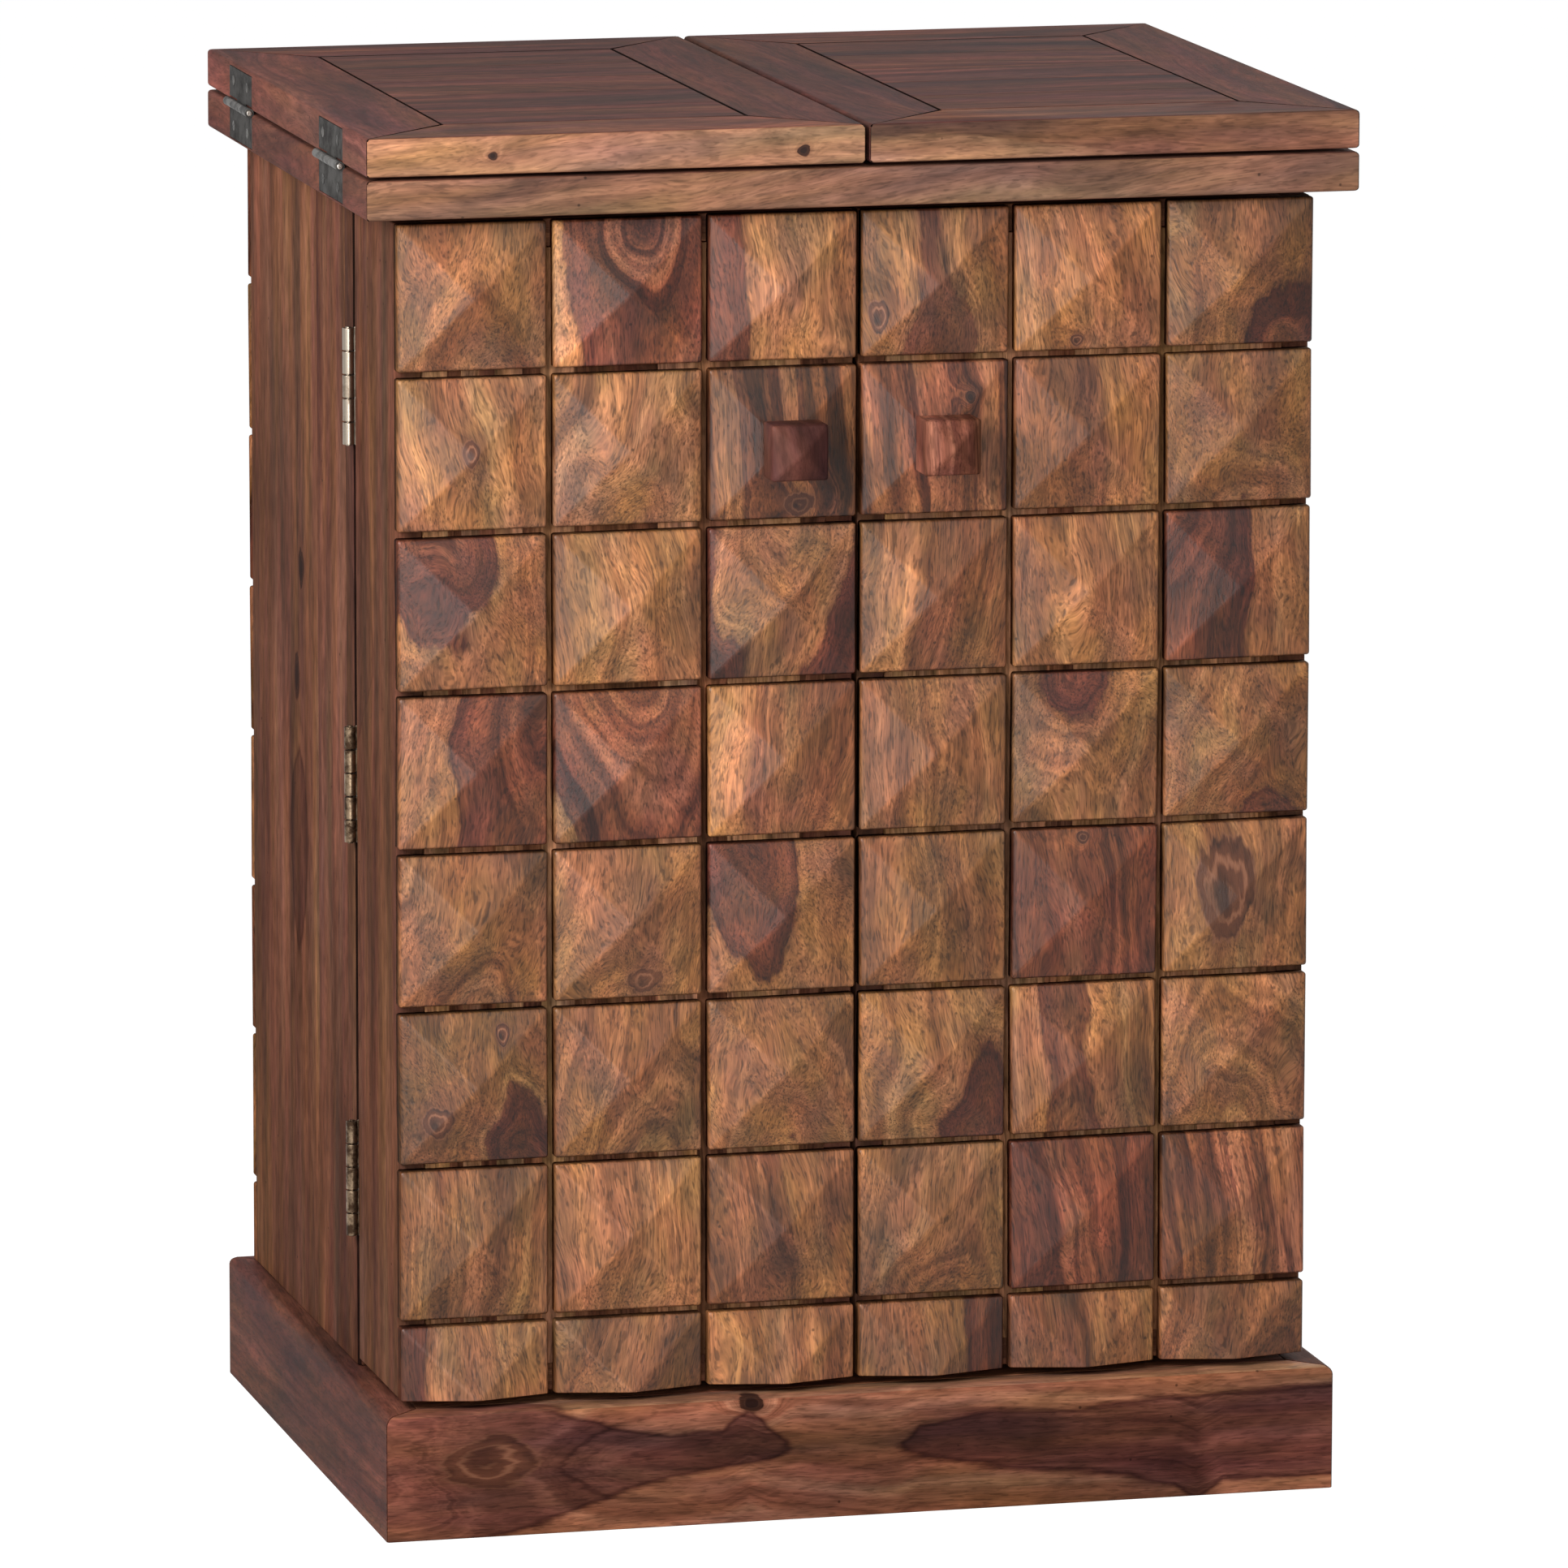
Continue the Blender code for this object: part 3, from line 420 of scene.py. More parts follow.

    # a block is darker towards its rim and on its walls, stain and painted shade of the grooves; its upper
    # wall darker still, saw scorch and painted shade under the block above; its ridges paler, wear and a
    # painted highlight
    rimU = add("Math", {0: rimU}, operation="ABSOLUTE")
    rimUp = add("Math", {0: rimV}, operation="ABSOLUTE")
    rimMost = add("Math", {0: rimU, 1: rimUp}, operation="MAXIMUM")
    offRidge = add("Math", {0: rimU, 1: rimUp}, operation="SUBTRACT")
    offPoint = add("MapRange", {0: rimMost, 1: 0.02, 2: 0.05})
    ridge = bell(offRidge, 0, woodSizes["ridge"] / woodSizes["toRidge"])
    ridge = add("Math", {0: ridge, 1: offPoint}, operation="MULTIPLY")
    shades += [
        # painted shade of the grooves, with stain: darker near the rim and on the walls
        add("MapRange", {0: rimMost, 1: 0.94, 2: 1, 3: 1, 4: 0.75}, interpolation_type="SMOOTHSTEP"),
        # painted shade under the block above, with saw scorch: the upper wall darker
        add("MapRange", {0: rimV, 1: 0.985, 2: 1, 3: 1, 4: 0.4}),
        # painted highlight along the ridges, with wear
        add("MapRange", {0: ridge, 3: 1, 4: 1.18}),
    ]
    shade = light
    for part in shades:
        shade = add("Math", {0: shade, 1: part}, operation="MULTIPLY")
    colour = add("VectorMath", {0: colour, "Scale": shade}, operation="SCALE")

    # knots: a dark eye in brown rings, with a dark edge and a red-brown halo
    for (knotSpot, knotGap), strength in zip(knotSpots, strengths):
        halo = add("MapRange", {0: knotGap, 1: 0.9, 2: 1.9, 3: 0.5, 4: 0})
        halo = add("Math", {0: halo, 1: strength}, operation="MULTIPLY")
        colour = add("Mix", {0: halo, 6: colour, 7: toLinear(knotTones["halo"])}, 2, data_type="RGBA")
        knotWave = add("Math", {0: knotGap, 1: 13, 2: raggedZ}, operation="MULTIPLY_ADD")
        knotWave = add("Math", {0: knotWave}, operation="SINE")
        knotWood = add("ValToRGB", {0: knotWave}, stops=knotTones["rings"])
        eyeSpot = add("VectorMath", {0: knotSpot, 1: (0.22, 0, 0.12)}, operation="ADD")
        eye = add("VectorMath", {0: eyeSpot}, "Value", operation="LENGTH")
        eye = add("MapRange", {0: eye, 1: 0.2, 2: 0.62, 3: 1, 4: 0})
        broken = add("MapRange", {0: raggedY, 1: -0.12, 2: 0.12, 3: 0.15, 4: 1})
        edge = add("Math", {0: bell(knotGap, 0.97, 0.14), 1: broken}, operation="MULTIPLY")
        dead = add("MapRange", {0: strength, 1: 0.9, 2: 1})
        core = add("MapRange", {0: knotGap, 1: 0.5, 2: 1.1, 3: 1, 4: 0.5})
        solid = add("Math", {0: dead, 1: core}, operation="MULTIPLY")
        dark = add("Math", {0: eye, 1: edge}, operation="MAXIMUM")
        dark = add("Math", {0: dark, 1: solid}, operation="MAXIMUM")
        knotWood = add("Mix", {0: dark, 6: knotWood, 7: toLinear(knotTones["eye"])}, 2, data_type="RGBA")
        cover = add("MapRange", {0: knotGap, 1: 1.0, 2: 1.15, 3: 1, 4: 0})
        cover = add("Math", {0: cover, 1: strength}, operation="MULTIPLY")
        colour = add("Mix", {0: cover, 6: colour, 7: knotWood}, 2, data_type="RGBA")
    link(colour, shader["Base Color"])

    link(add("MapRange", {0: fibre, 3: look["rough"][0], 4: look["rough"][1]}), shader["Roughness"])
    height = add("Math", {0: pores, 1: -0.8, 2: fibre}, operation="MULTIPLY_ADD")
    link(add("Bump", {"Height": height, "Strength": 0.25, "Distance": 0.3 * mm}), shader["Normal"])
    shader["IOR"].default_value = 1.5
    shader["Specular IOR Level"].default_value = look["shine"]
    return material


woods = {name: sheesham(name, look) for name, look in woodLooks.items()}


# Metal of the hinges. Patina lies in patches, and the metal between them is rubbed bright.
metalLooks = {
    "nickelledSteel": {
        "bright": "#988D7F", "dull": "#5E4D3C", "patch": 13, "cover": (0.48, 0.7), "rough": (0.3, 0.5),
    },
    "agedBrass": {
        "bright": "#8A7660", "dull": "#3A2B20", "patch": 8, "cover": (0.38, 0.6), "rough": (0.3, 0.6),
    },
    "blackenedIron": {
        "bright": "#42403E", "dull": "#2A2827", "patch": 14, "cover": (0.4, 0.66), "rough": (0.6, 0.75),
        "metallic": 0, "shine": 0.05,  # the oxide that covers it is no metal
    },
    "rubbedIron": {
        "bright": "#4C4945", "dull": "#2C2A28", "patch": 9, "cover": (0.42, 0.6), "rough": (0.35, 0.5),
        "metallic": 0, "shine": 0.15,
    },
    "brightPin": {
        "bright": "#D5CEC4", "dull": "#7A7066", "patch": 3, "cover": (0.52, 0.7), "rough": (0.2, 0.4),
    },
}
millScale = 1.6 * mm  # drawn coarse, to show at all


def metal(name, look):
    material, add, shader, link = newMaterial(name)
    place = add("TexCoord", {}, "Object")
    patina = {"Vector": place, "Scale": 1 / (look["patch"] * mm), "Detail": 4, "Roughness": 0.65}
    low, high = look["cover"]
    cover = add("MapRange", {"Value": add("TexNoise", patina), "From Min": low, "From Max": high})
    tones = {0: cover, 6: toLinear(look["bright"]), 7: toLinear(look["dull"])}
    link(add("Mix", tones, 2, data_type="RGBA"), shader["Base Color"])
    rough = add("MapRange", {"Value": cover, "To Min": look["rough"][0], "To Max": look["rough"][1]})
    link(rough, shader["Roughness"])
    grit = add("TexNoise", {"Vector": place, "Scale": 1 / millScale, "Detail": 2})
    link(add("Bump", {"Height": grit, "Strength": 0.08, "Distance": 0.1 * mm}), shader["Normal"])
    shader["Metallic"].default_value = look.get("metallic", 1)
    shader["Specular IOR Level"].default_value = look.get("shine", 0.5)
    return material


metals = {name: metal(name, look) for name, look in metalLooks.items()}


sparkGrain = 0.6 * mm


def mouldedPlastic():  # ABS, moulded brown: even colour with a fine spark texture
    material, add, shader, link = newMaterial("mouldedAbs")
    place = add("TexCoord", {}, "Object")
    spark = add("TexNoise", {"Vector": place, "Scale": 1 / sparkGrain, "Detail": 2})
    colour = add("ValToRGB", {0: spark}, stops=((0.3, "#33241C"), (0.7, "#413026")))
    link(colour, shader["Base Color"])
    link(add("Bump", {"Height": spark, "Strength": 0.3, "Distance": 0.05 * mm}), shader["Normal"])
    shader["Roughness"].default_value = 0.45
    shader["IOR"].default_value = 1.53
    return material


print("materials made")


# How each offcut was sawn from its tree. Aside and depth are the way to the pith, in mm from the middle
# of the show face; lean and dive turn the fibre in the face and into it, in degrees; heart is the radius
# of the dark heartwood in mm; stripe is the contrast of the bands, light the level of the stain, bloom how
# dark the heart has turned and sway how far the grain strays.
figures = {
    "pale": {"aside": 80, "depth": 35, "lean": 5, "dive": 6, "heart": 1, "stripe": 1.0, "light": 1.1},
    "sand": {"aside": 15, "depth": 30, "lean": -8, "dive": 20, "heart": 1, "stripe": 1.15, "light": 1.0},
    "cap": {"aside": 0, "depth": 26, "lean": 4, "dive": 26, "heart": 1, "stripe": 1.2, "light": 0.95},
    "cup": {
        "aside": 8, "depth": 34, "lean": 3, "dive": -24, "heart": 70, "stripe": 1.7, "light": 1.5,
        "sway": 0.4,
    },
    "bowl": {
        "aside": 6, "depth": 22, "lean": -3, "dive": -22, "heart": 53, "stripe": 1.7, "light": 1.5,
        "sway": 0.4,
    },
    "mound": {
        "aside": -8, "depth": 20, "lean": 3, "dive": 16, "heart": 29, "stripe": 1.0, "light": 1.1,
        "bloom": 0.8,
    },
    "vee": {"aside": 4, "depth": 27, "lean": -10, "dive": -28, "heart": -46, "stripe": 0.9, "light": 1.1},
    "tongue": {"aside": -12, "depth": 27, "lean": 8, "dive": -28, "heart": 36, "stripe": 0.9, "light": 1.0},
    "foot": {"aside": 24, "depth": 27, "lean": 6, "dive": 28, "heart": 25, "stripe": 1.0, "light": 1.0},
    "nose": {"aside": -3, "depth": 27, "lean": 4, "dive": -28, "heart": 21, "stripe": 1.1, "light": 1.06},
    "toe": {"aside": 24, "depth": 36, "lean": 6, "dive": 28, "heart": 18, "stripe": 1.2, "light": 1.0},
    "ribbon": {
        "aside": -14, "depth": 8, "lean": 2, "dive": 3, "heart": 16, "stripe": 1.2, "light": 1, "bloom": 0.7,
    },
    "heartLeft": {"aside": -46, "depth": 18, "lean": 6, "dive": -12, "heart": 52, "stripe": 1, "light": 1.1},
    "heartRight": {
        "aside": 46, "depth": 18, "lean": -6, "dive": -14, "heart": 56, "stripe": 1.0, "light": 1.1,
    },
    "stripLeft": {
        "aside": -110, "depth": 10, "lean": 2, "dive": 2, "heart": 80, "stripe": 0.8, "light": 1.1,
    },
    "stripRight": {"aside": 110, "depth": 10, "lean": -2, "dive": 2, "heart": 86, "stripe": 0.8, "light": 1},
    "blushLeft": {
        "aside": -70, "depth": 20, "lean": 5, "dive": 8, "heart": 82, "stripe": 0.9, "light": 1.1,
        "bloom": 0.5,
    },
    "blushRight": {
        "aside": 72, "depth": 20, "lean": -5, "dive": 8, "heart": 92, "stripe": 0.9, "light": 1.1,
        "bloom": 0.5,
    },
    "dark": {"aside": 60, "depth": 20, "lean": 5, "dive": 8, "heart": 400, "stripe": 1.0, "light": 1.15},
    "stripe": {
        "aside": 130, "depth": 8, "lean": 3, "dive": 2, "heart": 400, "stripe": 1.9, "light": 1.35,
        "bloom": 0.75, "sway": 0.6,
    },
    "deepStripe": {
        "aside": 120, "depth": 8, "lean": 4, "dive": 3, "heart": 400, "stripe": 3.0, "light": 1.2,
        "bloom": 0.75, "sway": 0.6,
    },
    "board": {"aside": 45, "depth": 30, "lean": 1.5, "dive": 2, "heart": 400, "stripe": 1.0, "light": 1.0},
    "paleBoard": {"aside": 50, "depth": 28, "lean": 1.5, "dive": 2, "heart": 1, "stripe": 0.9, "light": 1.0},
    "redBoard": {"aside": 60, "depth": 26, "lean": 1.5, "dive": 2, "heart": 400, "stripe": 1, "light": 1.25},
    "spindle": {
        "aside": 0, "depth": 4, "lean": 0, "dive": 0, "heart": 1, "stripe": 0.9, "light": 1.0, "sway": 0.4,
    },
    "streak": {
        "aside": 0, "depth": 4, "lean": 0, "dive": 0, "heart": 1, "stripe": 0.9, "light": 1.0, "bloom": 0.55,
        "sway": 0.5,
    },
    "flame": {"aside": 0, "depth": 4, "lean": 0, "dive": 0, "heart": 1, "stripe": 1.0, "light": 1.0},
}
lightMark = {"+": 1.16, "-": 0.86}  # each such mark behind a figure's name makes it lighter or darker
noKnot = (0, 0, 90)  # too far off to show


def layGrain(piece, along, face, figure, dice, centre=None, knots=(), reach=None, hearts=None):
    # along is the fibre, face the way that the show face looks, reach the half width and height of a block;
    # a knot is its place across and along the fibre, its half width and half length, in mm from the middle,
    # and its strength; hearts are the pith's path along a board, with the heart's radius and the shade
    points = [point.co.copy() for point in piece.data.vertices]
    if centre is None:
        low = Vector([min(p[i] for p in points) for i in range(3)])
        high = Vector([max(p[i] for p in points) for i in range(3)])
        centre = (low + high) / 2
    kind = figure.rstrip("+-")
    sawn = figures[kind]
    across = along.cross(face)
    toWood = Matrix((across, -face, along))
    loose = 0 if hearts else 1  # a heart that is drawn stays where it is drawn
    lean = math.radians(sawn["lean"] + dice.uniform(-4, 4) * loose)
    dive = math.radians(sawn["dive"] + dice.uniform(-3, 3) * loose)
    turn = Matrix.Rotation(dive, 3, "X") @ Matrix.Rotation(lean, 3, "Y")
    aside = (sawn["aside"] + dice.uniform(-6, 6) * loose) * mm
    depth = (sawn["depth"] + dice.uniform(-3, 3) * loose) * mm
    light = sawn["light"] * dice.uniform(0.96, 1.04)
    for mark in figure[len(kind):]:
        light *= lightMark[mark]
    strengths = [knot[4] for knot in knots] + [0, 0]
    surface = 0 if reach else min((toWood @ (point - centre)).y for point in points)
    start = Vector((-aside, -depth - surface, dice.uniform(0, 12)))
    rows = {name: [] for name in vectorLayers}
    for point in points:
        local = toWood @ (point - centre)
        pith, heart, shade = pithAt(hearts, local.z / mm) if hearts else (0, sawn["heart"], 1)
        rows["grain"].append(turn @ local + start)
        rows["tone"].append((heart * mm, sawn["stripe"], light * shade))
        rows["knotTone"].append((*strengths[:2], pith * mm))
        rows["sway"].append((sawn.get("sway", 1),) * 3)
        for i, name in enumerate(("knot", "secondKnot")):
            if i < len(knots):
                knotAcross, knotAlong, halfWidth, halfLength = [value * mm for value in knots[i][:4]]
                eye = local - Vector((knotAcross, surface, knotAlong))
                rows[name].append((eye.x / halfWidth, eye.y * 0.3 / halfWidth, eye.z / halfLength))
            else:
                rows[name].append(noKnot)
        rimU, rimV = (local.x / reach[0], local.z / reach[1]) if reach else (0, 0)
        rows["rim"].append((rimU, rimV, sawn.get("bloom", 1)))
    for name in vectorLayers:
        layer = piece.data.attributes.get(name) or piece.data.attributes.new(name, "FLOAT_VECTOR", "POINT")
        layer.data.foreach_set("vector", [number for row in rows[name] for number in row])


def pithAt(path, spot):  # how far aside the pith lies, the heart's radius, and the shade, 1 if none is given
    reading = list(path[-1][1:])
    for (start, *first), (end, *last) in zip(path, path[1:]):
        if spot <= end:
            share = min(1, max(0, (spot - start) / (end - start)))
            reading = [a + (b - a) * share for a, b in zip(first, last)]
            break
    return (reading + [1])[:3]


def splitAlong(piece, run, middle, hearts):  # more points along a board, for a drawn heart to change between
    for heart in (hearts or ())[1:-1]:
        choose(piece, "FACE", lambda face: True)
        bpy.ops.mesh.bisect(plane_co=middle + run * heart[0] * mm, plane_no=run)
        bpy.ops.object.mode_set(mode="OBJECT")


def finish(piece, material, *others):  # each other material goes with a test of the faces that get it
    piece.data.materials.clear()
    piece.data.materials.append(material)
    for i, (other, test) in enumerate(others):
        piece.data.materials.append(other)
        for face in piece.data.polygons:
            if test(face.normal):
                face.material_index = i + 1


# plain boards: shelves, stiles, rails and panels
boardEase = 0.9 * mm
stripEase = 0.35 * mm
slatEase = 0.2 * mm
frameEase = 0.6 * mm


def plank(name, low, high, along, face, figure, wood, dice, ease=boardEase, joint=None, hearts=None):
    piece = addBlank(name, low, high)
    settle(piece, ease, 3)
    splitAlong(piece, along, (low + high) / 2, hearts)
    layGrain(piece, along, face, figure, dice, hearts=hearts)
    if joint:
        finish(piece, woods[wood], (woods["sheeshamJoints"], joint))
    else:
        finish(piece, woods[wood])
    return piece


def oneBoard(node, along, face, figure, wood, hearts=None, ease=boardEase):
    low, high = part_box(node)
    dice = random.Random(node)
    piece = plank(node + "_wood", low, high, along, face, figure, wood, dice, ease, hearts=hearts)
    return install(piece, node)


def gluedUp(
    name, low, high, along, face, cuts, axis, choices, wood, dice,
    ease=stripEase, gap=0, joint=None,
):
    # strips side by side across the axis, each from its own tree, with a fine line at each seam
    edges = [low[axis], *cuts, high[axis]]
    strips = []
    for i in range(len(edges) - 1):
        stripLow, stripHigh = low.copy(), high.copy()
        stripLow[axis] = edges[i] + gap
        stripHigh[axis] = edges[i + 1] - gap
        figure = choices[i % len(choices)]
        strips.append(plank(name, stripLow, stripHigh, along, face, figure, wood, dice, ease, joint))
    return strips


def evenCuts(low, high, count):
    return [low + (high - low) * i / count for i in range(1, count)]


# mitred frames: the plinth and the frames of the top
mitre = {"gap": 0.08 * mm, "open": 0.014, "segments": 5}  # dry wood opens inside


def mitredBoard(name, low, high, outward, run, radius, roundFoot):
    piece = addBlank(name, low, high)
    outer = max(low.dot(outward), high.dot(outward))
    middleZ = (low.z + high.z) / 2

    def outerEdge(edge):
        spot = middleOf(edge)
        onOuter = abs(spot.dot(outward) - outer) < touch
        return onOuter and runsAlong(edge, run) and (roundFoot or spot.z > middleZ)

    choose(piece, "EDGE", outerEdge)
    bpy.ops.mesh.bevel(offset=radius, segments=mitre["segments"], affect="EDGES")
    for end in (-1, 1):
        tip = (high if run.dot(high - low) * end > 0 else low).copy()
        corner = Vector([outward[i] * outer if outward[i] else tip[i] for i in range(3)])
        away = (run * end - outward).normalized()
        inward = (run * -end - outward).normalized()
        saw(piece, corner - away * mitre["gap"], (away + inward * mitre["open"]).normalized())
    return piece


def framedBoard(
    name, low, high, outward, figure, woodName, radius, roundFoot, face,
    pockets=(), knots=(), hearts=None, topWood=None, joints=False,
):
    run = axisX if outward.y else axisY
    piece = mitredBoard(name, low, high, outward, run, radius, roundFoot)
    for pocketLow, pocketHigh in pockets:
        cutOut(piece, pocketLow, pocketHigh)
    settle(piece, frameEase)
    splitAlong(piece, run, (low + high) / 2, hearts)
    layGrain(piece, run, face, figure, random.Random(name), knots=knots, hearts=hearts)

    def inJoint(normal):  # the inner edge and the mitres, but not the eased corners that stand upright
        slant = min(abs(normal.x), abs(normal.y))
        return normal.dot(outward) < -0.3 or slant > (0.3 if abs(normal.z) > 0.3 else 0.5)

    others = []
    if topWood:
        others.append((woods[topWood], lambda normal: abs(normal.z) > 0.75))
    if joints:
        others.append((woods["sheeshamJoints"], inJoint))
    finish(piece, woods[woodName], *others)
    return piece


plinth = {
    "radius": 5.5 * mm,
    "outward": {"front": -axisY, "back": axisY, "left": -axisX, "right": axisX},
    # dark heart at both ends of the front that comes to a point at each side of a pale middle
    "frontHearts": (
        (-317, -2, 60), (-240, -6, 46), (-198, -4, 32), (-164, -4, 22), (-130, -5, 14), (-95, -8, 13),
        (-77, -16, 18), (-63, -10, 11), (-51, -8, 5), (-44, -8, 0.2), (14, 0, 0.2), (24, -1, 4),
        (37, -6, 10), (73, -6, 17), (122, -3, 19), (180, 0, 24), (210, 3, 29), (225, 9, 34),
        (243, 1, 29), (317, 2, 31),
    ),
    "frontKnots": ((-8, -251, 18, 30, 0.65), (-38, -76, 6, 8, 1)),
}
for name, outward in plinth["outward"].items():
    node = "plinth_" + name
    low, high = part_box(node)
    marks = {}
    if name == "front":
        # the ledge on top gets the paler edge wood, painted light where the doors shade it
        marks = {"knots": plinth["frontKnots"], "hearts": plinth["frontHearts"], "topWood": "sheeshamEdge"}
    piece = framedBoard(
        node + "_wood", low, high, outward, "flame" if marks else "board---", "sheeshamPlinth",
        plinth["radius"], False, outward, **marks,
    )
    install(piece, node)
oneBoard("base_panel", axisX, axisZ, "board", "sheeshamInner")
print("plinth made")


# case: glued side panels, shelf, rack and catch
sidePanel = {
    "seam": 34 * mm,  # from the middle of the part, where the front and back boards of each side meet
    "lipping": 28 * mm,  # a strip along the door
    "figures": ("board-", "redBoard-", "paleBoard-"),  # lipping, front board, back board
    "markedFigure": "spindle",  # the left back board
    # of the left panel's back board: two knots, under them a dark spindle, darker towards the floor
    "knots": ((53, 115, 10, 13, 1), (38, 40, 9, 18, 1)),
    "hearts": (
        (-382, 43, 0.2, 0.73), (-150, 44, 0.2, 0.74), (-115, 44, 17, 0.78), (-65, 44, 27, 0.83),
        (-30, 44, 19, 0.88), (-2, 44, 0.2, 0.92), (150, 43, 0.2, 1.06), (382, 43, 0.2, 1.08),
    ),
    "round": 4.5 * mm, "segments": 6,  # the edge towards the door
    "ease": 1.0 * mm,
}


def makeSidePanel(side, sign):
    node = f"side_panel_{side}"
    low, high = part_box(node)
    dice = random.Random(node)
    outer = axisX * sign
    edgeX = high.x if sign > 0 else low.x
    cuts = (low.y, low.y + sidePanel["lipping"], sidePanel["seam"], high.y)
    boxes = [
        (Vector((low.x, start, low.z)), Vector((high.x, end, high.z))) for start, end in zip(cuts, cuts[1:])
    ]
    boards = [addBlank(node, boardLow, boardHigh) for boardLow, boardHigh in boxes]

    def doorEdge(edge):
        spot = middleOf(edge)
        return runsAlong(edge, axisZ) and abs(spot.x - edgeX) < touch and spot.y < low.y + touch

    choose(boards[0], "EDGE", doorEdge)
    bpy.ops.mesh.bevel(offset=sidePanel["round"], segments=sidePanel["segments"], affect="EDGES")
    joints = (  # painted shade on the round along the door, where the door shades the gap, and dirt in the seam between front and back board
        lambda normal: normal.dot(outer) > 0.3 and -0.8 < normal.y < -0.3,
        lambda normal: normal.y > 0.5,
        lambda normal: normal.y < -0.5,
    )
    for i, (board, figure, joint) in enumerate(zip(boards, sidePanel["figures"], joints)):
        settle(board, sidePanel["ease"])
        marks = {}
        if i == 2 and sign < 0:
            figure = sidePanel["markedFigure"]
            marks = {"knots": sidePanel["knots"], "hearts": sidePanel["hearts"]}
            splitAlong(board, axisZ, (boxes[i][0] + boxes[i][1]) / 2, sidePanel["hearts"])
        layGrain(board, axisZ, outer, figure, dice, **marks)
        finish(board, woods["sheeshamCase"], (woods["sheeshamJoints"], joint))
    install(joinUp(node + "_wood", *boards), node)


for side, sign in sides.items():
    makeSidePanel(side, sign)
low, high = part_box("middle_shelf")
strips = gluedUp(
    "middle_shelf", low, high, axisX, axisZ, evenCuts(low.y, high.y, 4), 1, ("board", "paleBoard"),
    "sheeshamInner", random.Random("shelf"),
)
install(joinUp("middle_shelf_wood", *strips), "middle_shelf")

rack = {"slots": 5, "width": 22 * mm, "depth": 205 * mm, "ease": 1.2 * mm}
over = 5 * mm  # how far a cutter reaches past the wood


def makeRack():  # a board with a row of slots, open at the front, for the stems of glasses
    low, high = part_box("stemware_rack")
    piece = addBlank("stemware_rack_wood", low, high)
    pitch = (high.x - low.x) / rack["slots"]
    radius = rack["width"] / 2
    back = low.y + rack["depth"] - radius
    for i in range(rack["slots"]):
        x = low.x + (i + 0.5) * pitch
        spot = Vector((x, back, (low.z + high.z) / 2))
        cutBy(piece, addRod("slotEnd", spot, axisZ, high.z - low.z + 2 * over, radius))
        slotLow = Vector((x - radius, low.y - over, low.z - over))
        cutOut(piece, slotLow, Vector((x + radius, back, high.z + over)))
    settle(piece, rack["ease"], 3)
    layGrain(piece, axisX, -axisZ, "board", random.Random("rack"))
    finish(piece, woods["sheeshamInner"])
    install(piece, "stemware_rack")


makeRack()

catch = {
    "ease": 1.2 * mm,
    "magnet": 5 * mm, "magnetEase": 0.3 * mm, "spread": 15 * mm, "length": 2 * mm, "proud": 0.3 * mm,
}


def makeCatch():  # a moulded case with two magnets that face the doors
    low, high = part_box("door_catch")
    body = addBlank("door_catch_case", low, high)
    settle(body, catch["ease"], 3)
    finish(body, mouldedPlastic())
    parts = [body]
    for sign in (-1, 1):
        spot = Vector((sign * catch["spread"], low.y + catch["length"] / 2, (low.z + high.z) / 2))
        magnet = addRod("magnet", spot, axisY, catch["length"] + catch["proud"], catch["magnet"])
        settle(magnet, catch["magnetEase"])
        finish(magnet, metals["brightPin"])
        parts.append(magnet)
    install(joinUp("door_catch_unit", *parts), "door_catch")


makeCatch()
print("case made")


# top: a fixed board and two leaves, all framed, with mortises for the hinges
top = {
    "radius": 2.5 * mm, "frame": 62 * mm, "planks": 5,
    "fit": 0.5 * mm, "inset": 1.4 * mm, "seam": 0.3 * mm,
}


def pocketsOf(side, half, low, high):  # mortises for the plates of one side
    found = []
    for end in ("front", "back"):
        plateLow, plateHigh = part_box(f"{side}_top_hinge_{end}_{half}_plate")
        pocketLow = plateLow - Vector((1, 1, 1)) * top["fit"]
        pocketHigh = plateHigh + Vector((1, 1, 1)) * top["fit"]
        if sides[side] < 0:
            pocketLow.x = low.x - over
        else:
            pocketHigh.x = high.x + over
        if half == "board":
            pocketHigh.z = high.z + over
        else:
            pocketLow.z = low.z - over
        found.append((pocketLow, pocketHigh))
    return found


def topBoard(name, low, high, outward, figure, pockets, knots=(), hearts=None):
    if outward.y < 0:  # a front board shows its edge, of paler wood
        wood, topWood, face = "sheeshamEdge", "sheeshamTop", outward
    else:
        wood, topWood, face = "sheeshamTop", None, axisZ
    return framedBoard(
        name, low, high, outward, figure, wood, top["radius"], True, face,
        pockets, knots, hearts, topWood, joints=True,
    )


def makeFixedTop():
    low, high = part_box("fixed_top")
    width = top["frame"]
    rows = {
        "front": (low, Vector((high.x, low.y + width, high.z)), -axisY),
        "back": (Vector((low.x, high.y - width, low.z)), high, axisY),
        "left": (low, Vector((low.x + width, high.y, high.z)), -axisX),
        "right": (Vector((high.x - width, low.y, low.z)), high, axisX),
    }
    parts = []
    for name, (boardLow, boardHigh, outward) in rows.items():
        figure = "paleBoard---" if name == "front" else "board"
        pockets = pocketsOf(name, "board", low, high) if name in sides else ()
        parts.append(topBoard("fixed_top_" + name, boardLow, boardHigh, outward, figure, pockets))
    gap = Vector((width, width, 0)) + Vector((1, 1, 0)) * top["fit"]
    inLow, inHigh = low + gap, high - gap
    parts += gluedUp(
        "fixed_top_infill", inLow, inHigh, axisX, axisZ, evenCuts(inLow.y, inHigh.y, top["planks"]), 1,
        ("board", "board+", "board-"), "sheeshamTop", random.Random("fixedTop"), gap=top["seam"],
        joint=lambda normal: abs(normal.x) > 0.3,
    )
    install(joinUp("fixed_top_wood", *parts), "fixed_top")


makeFixedTop()

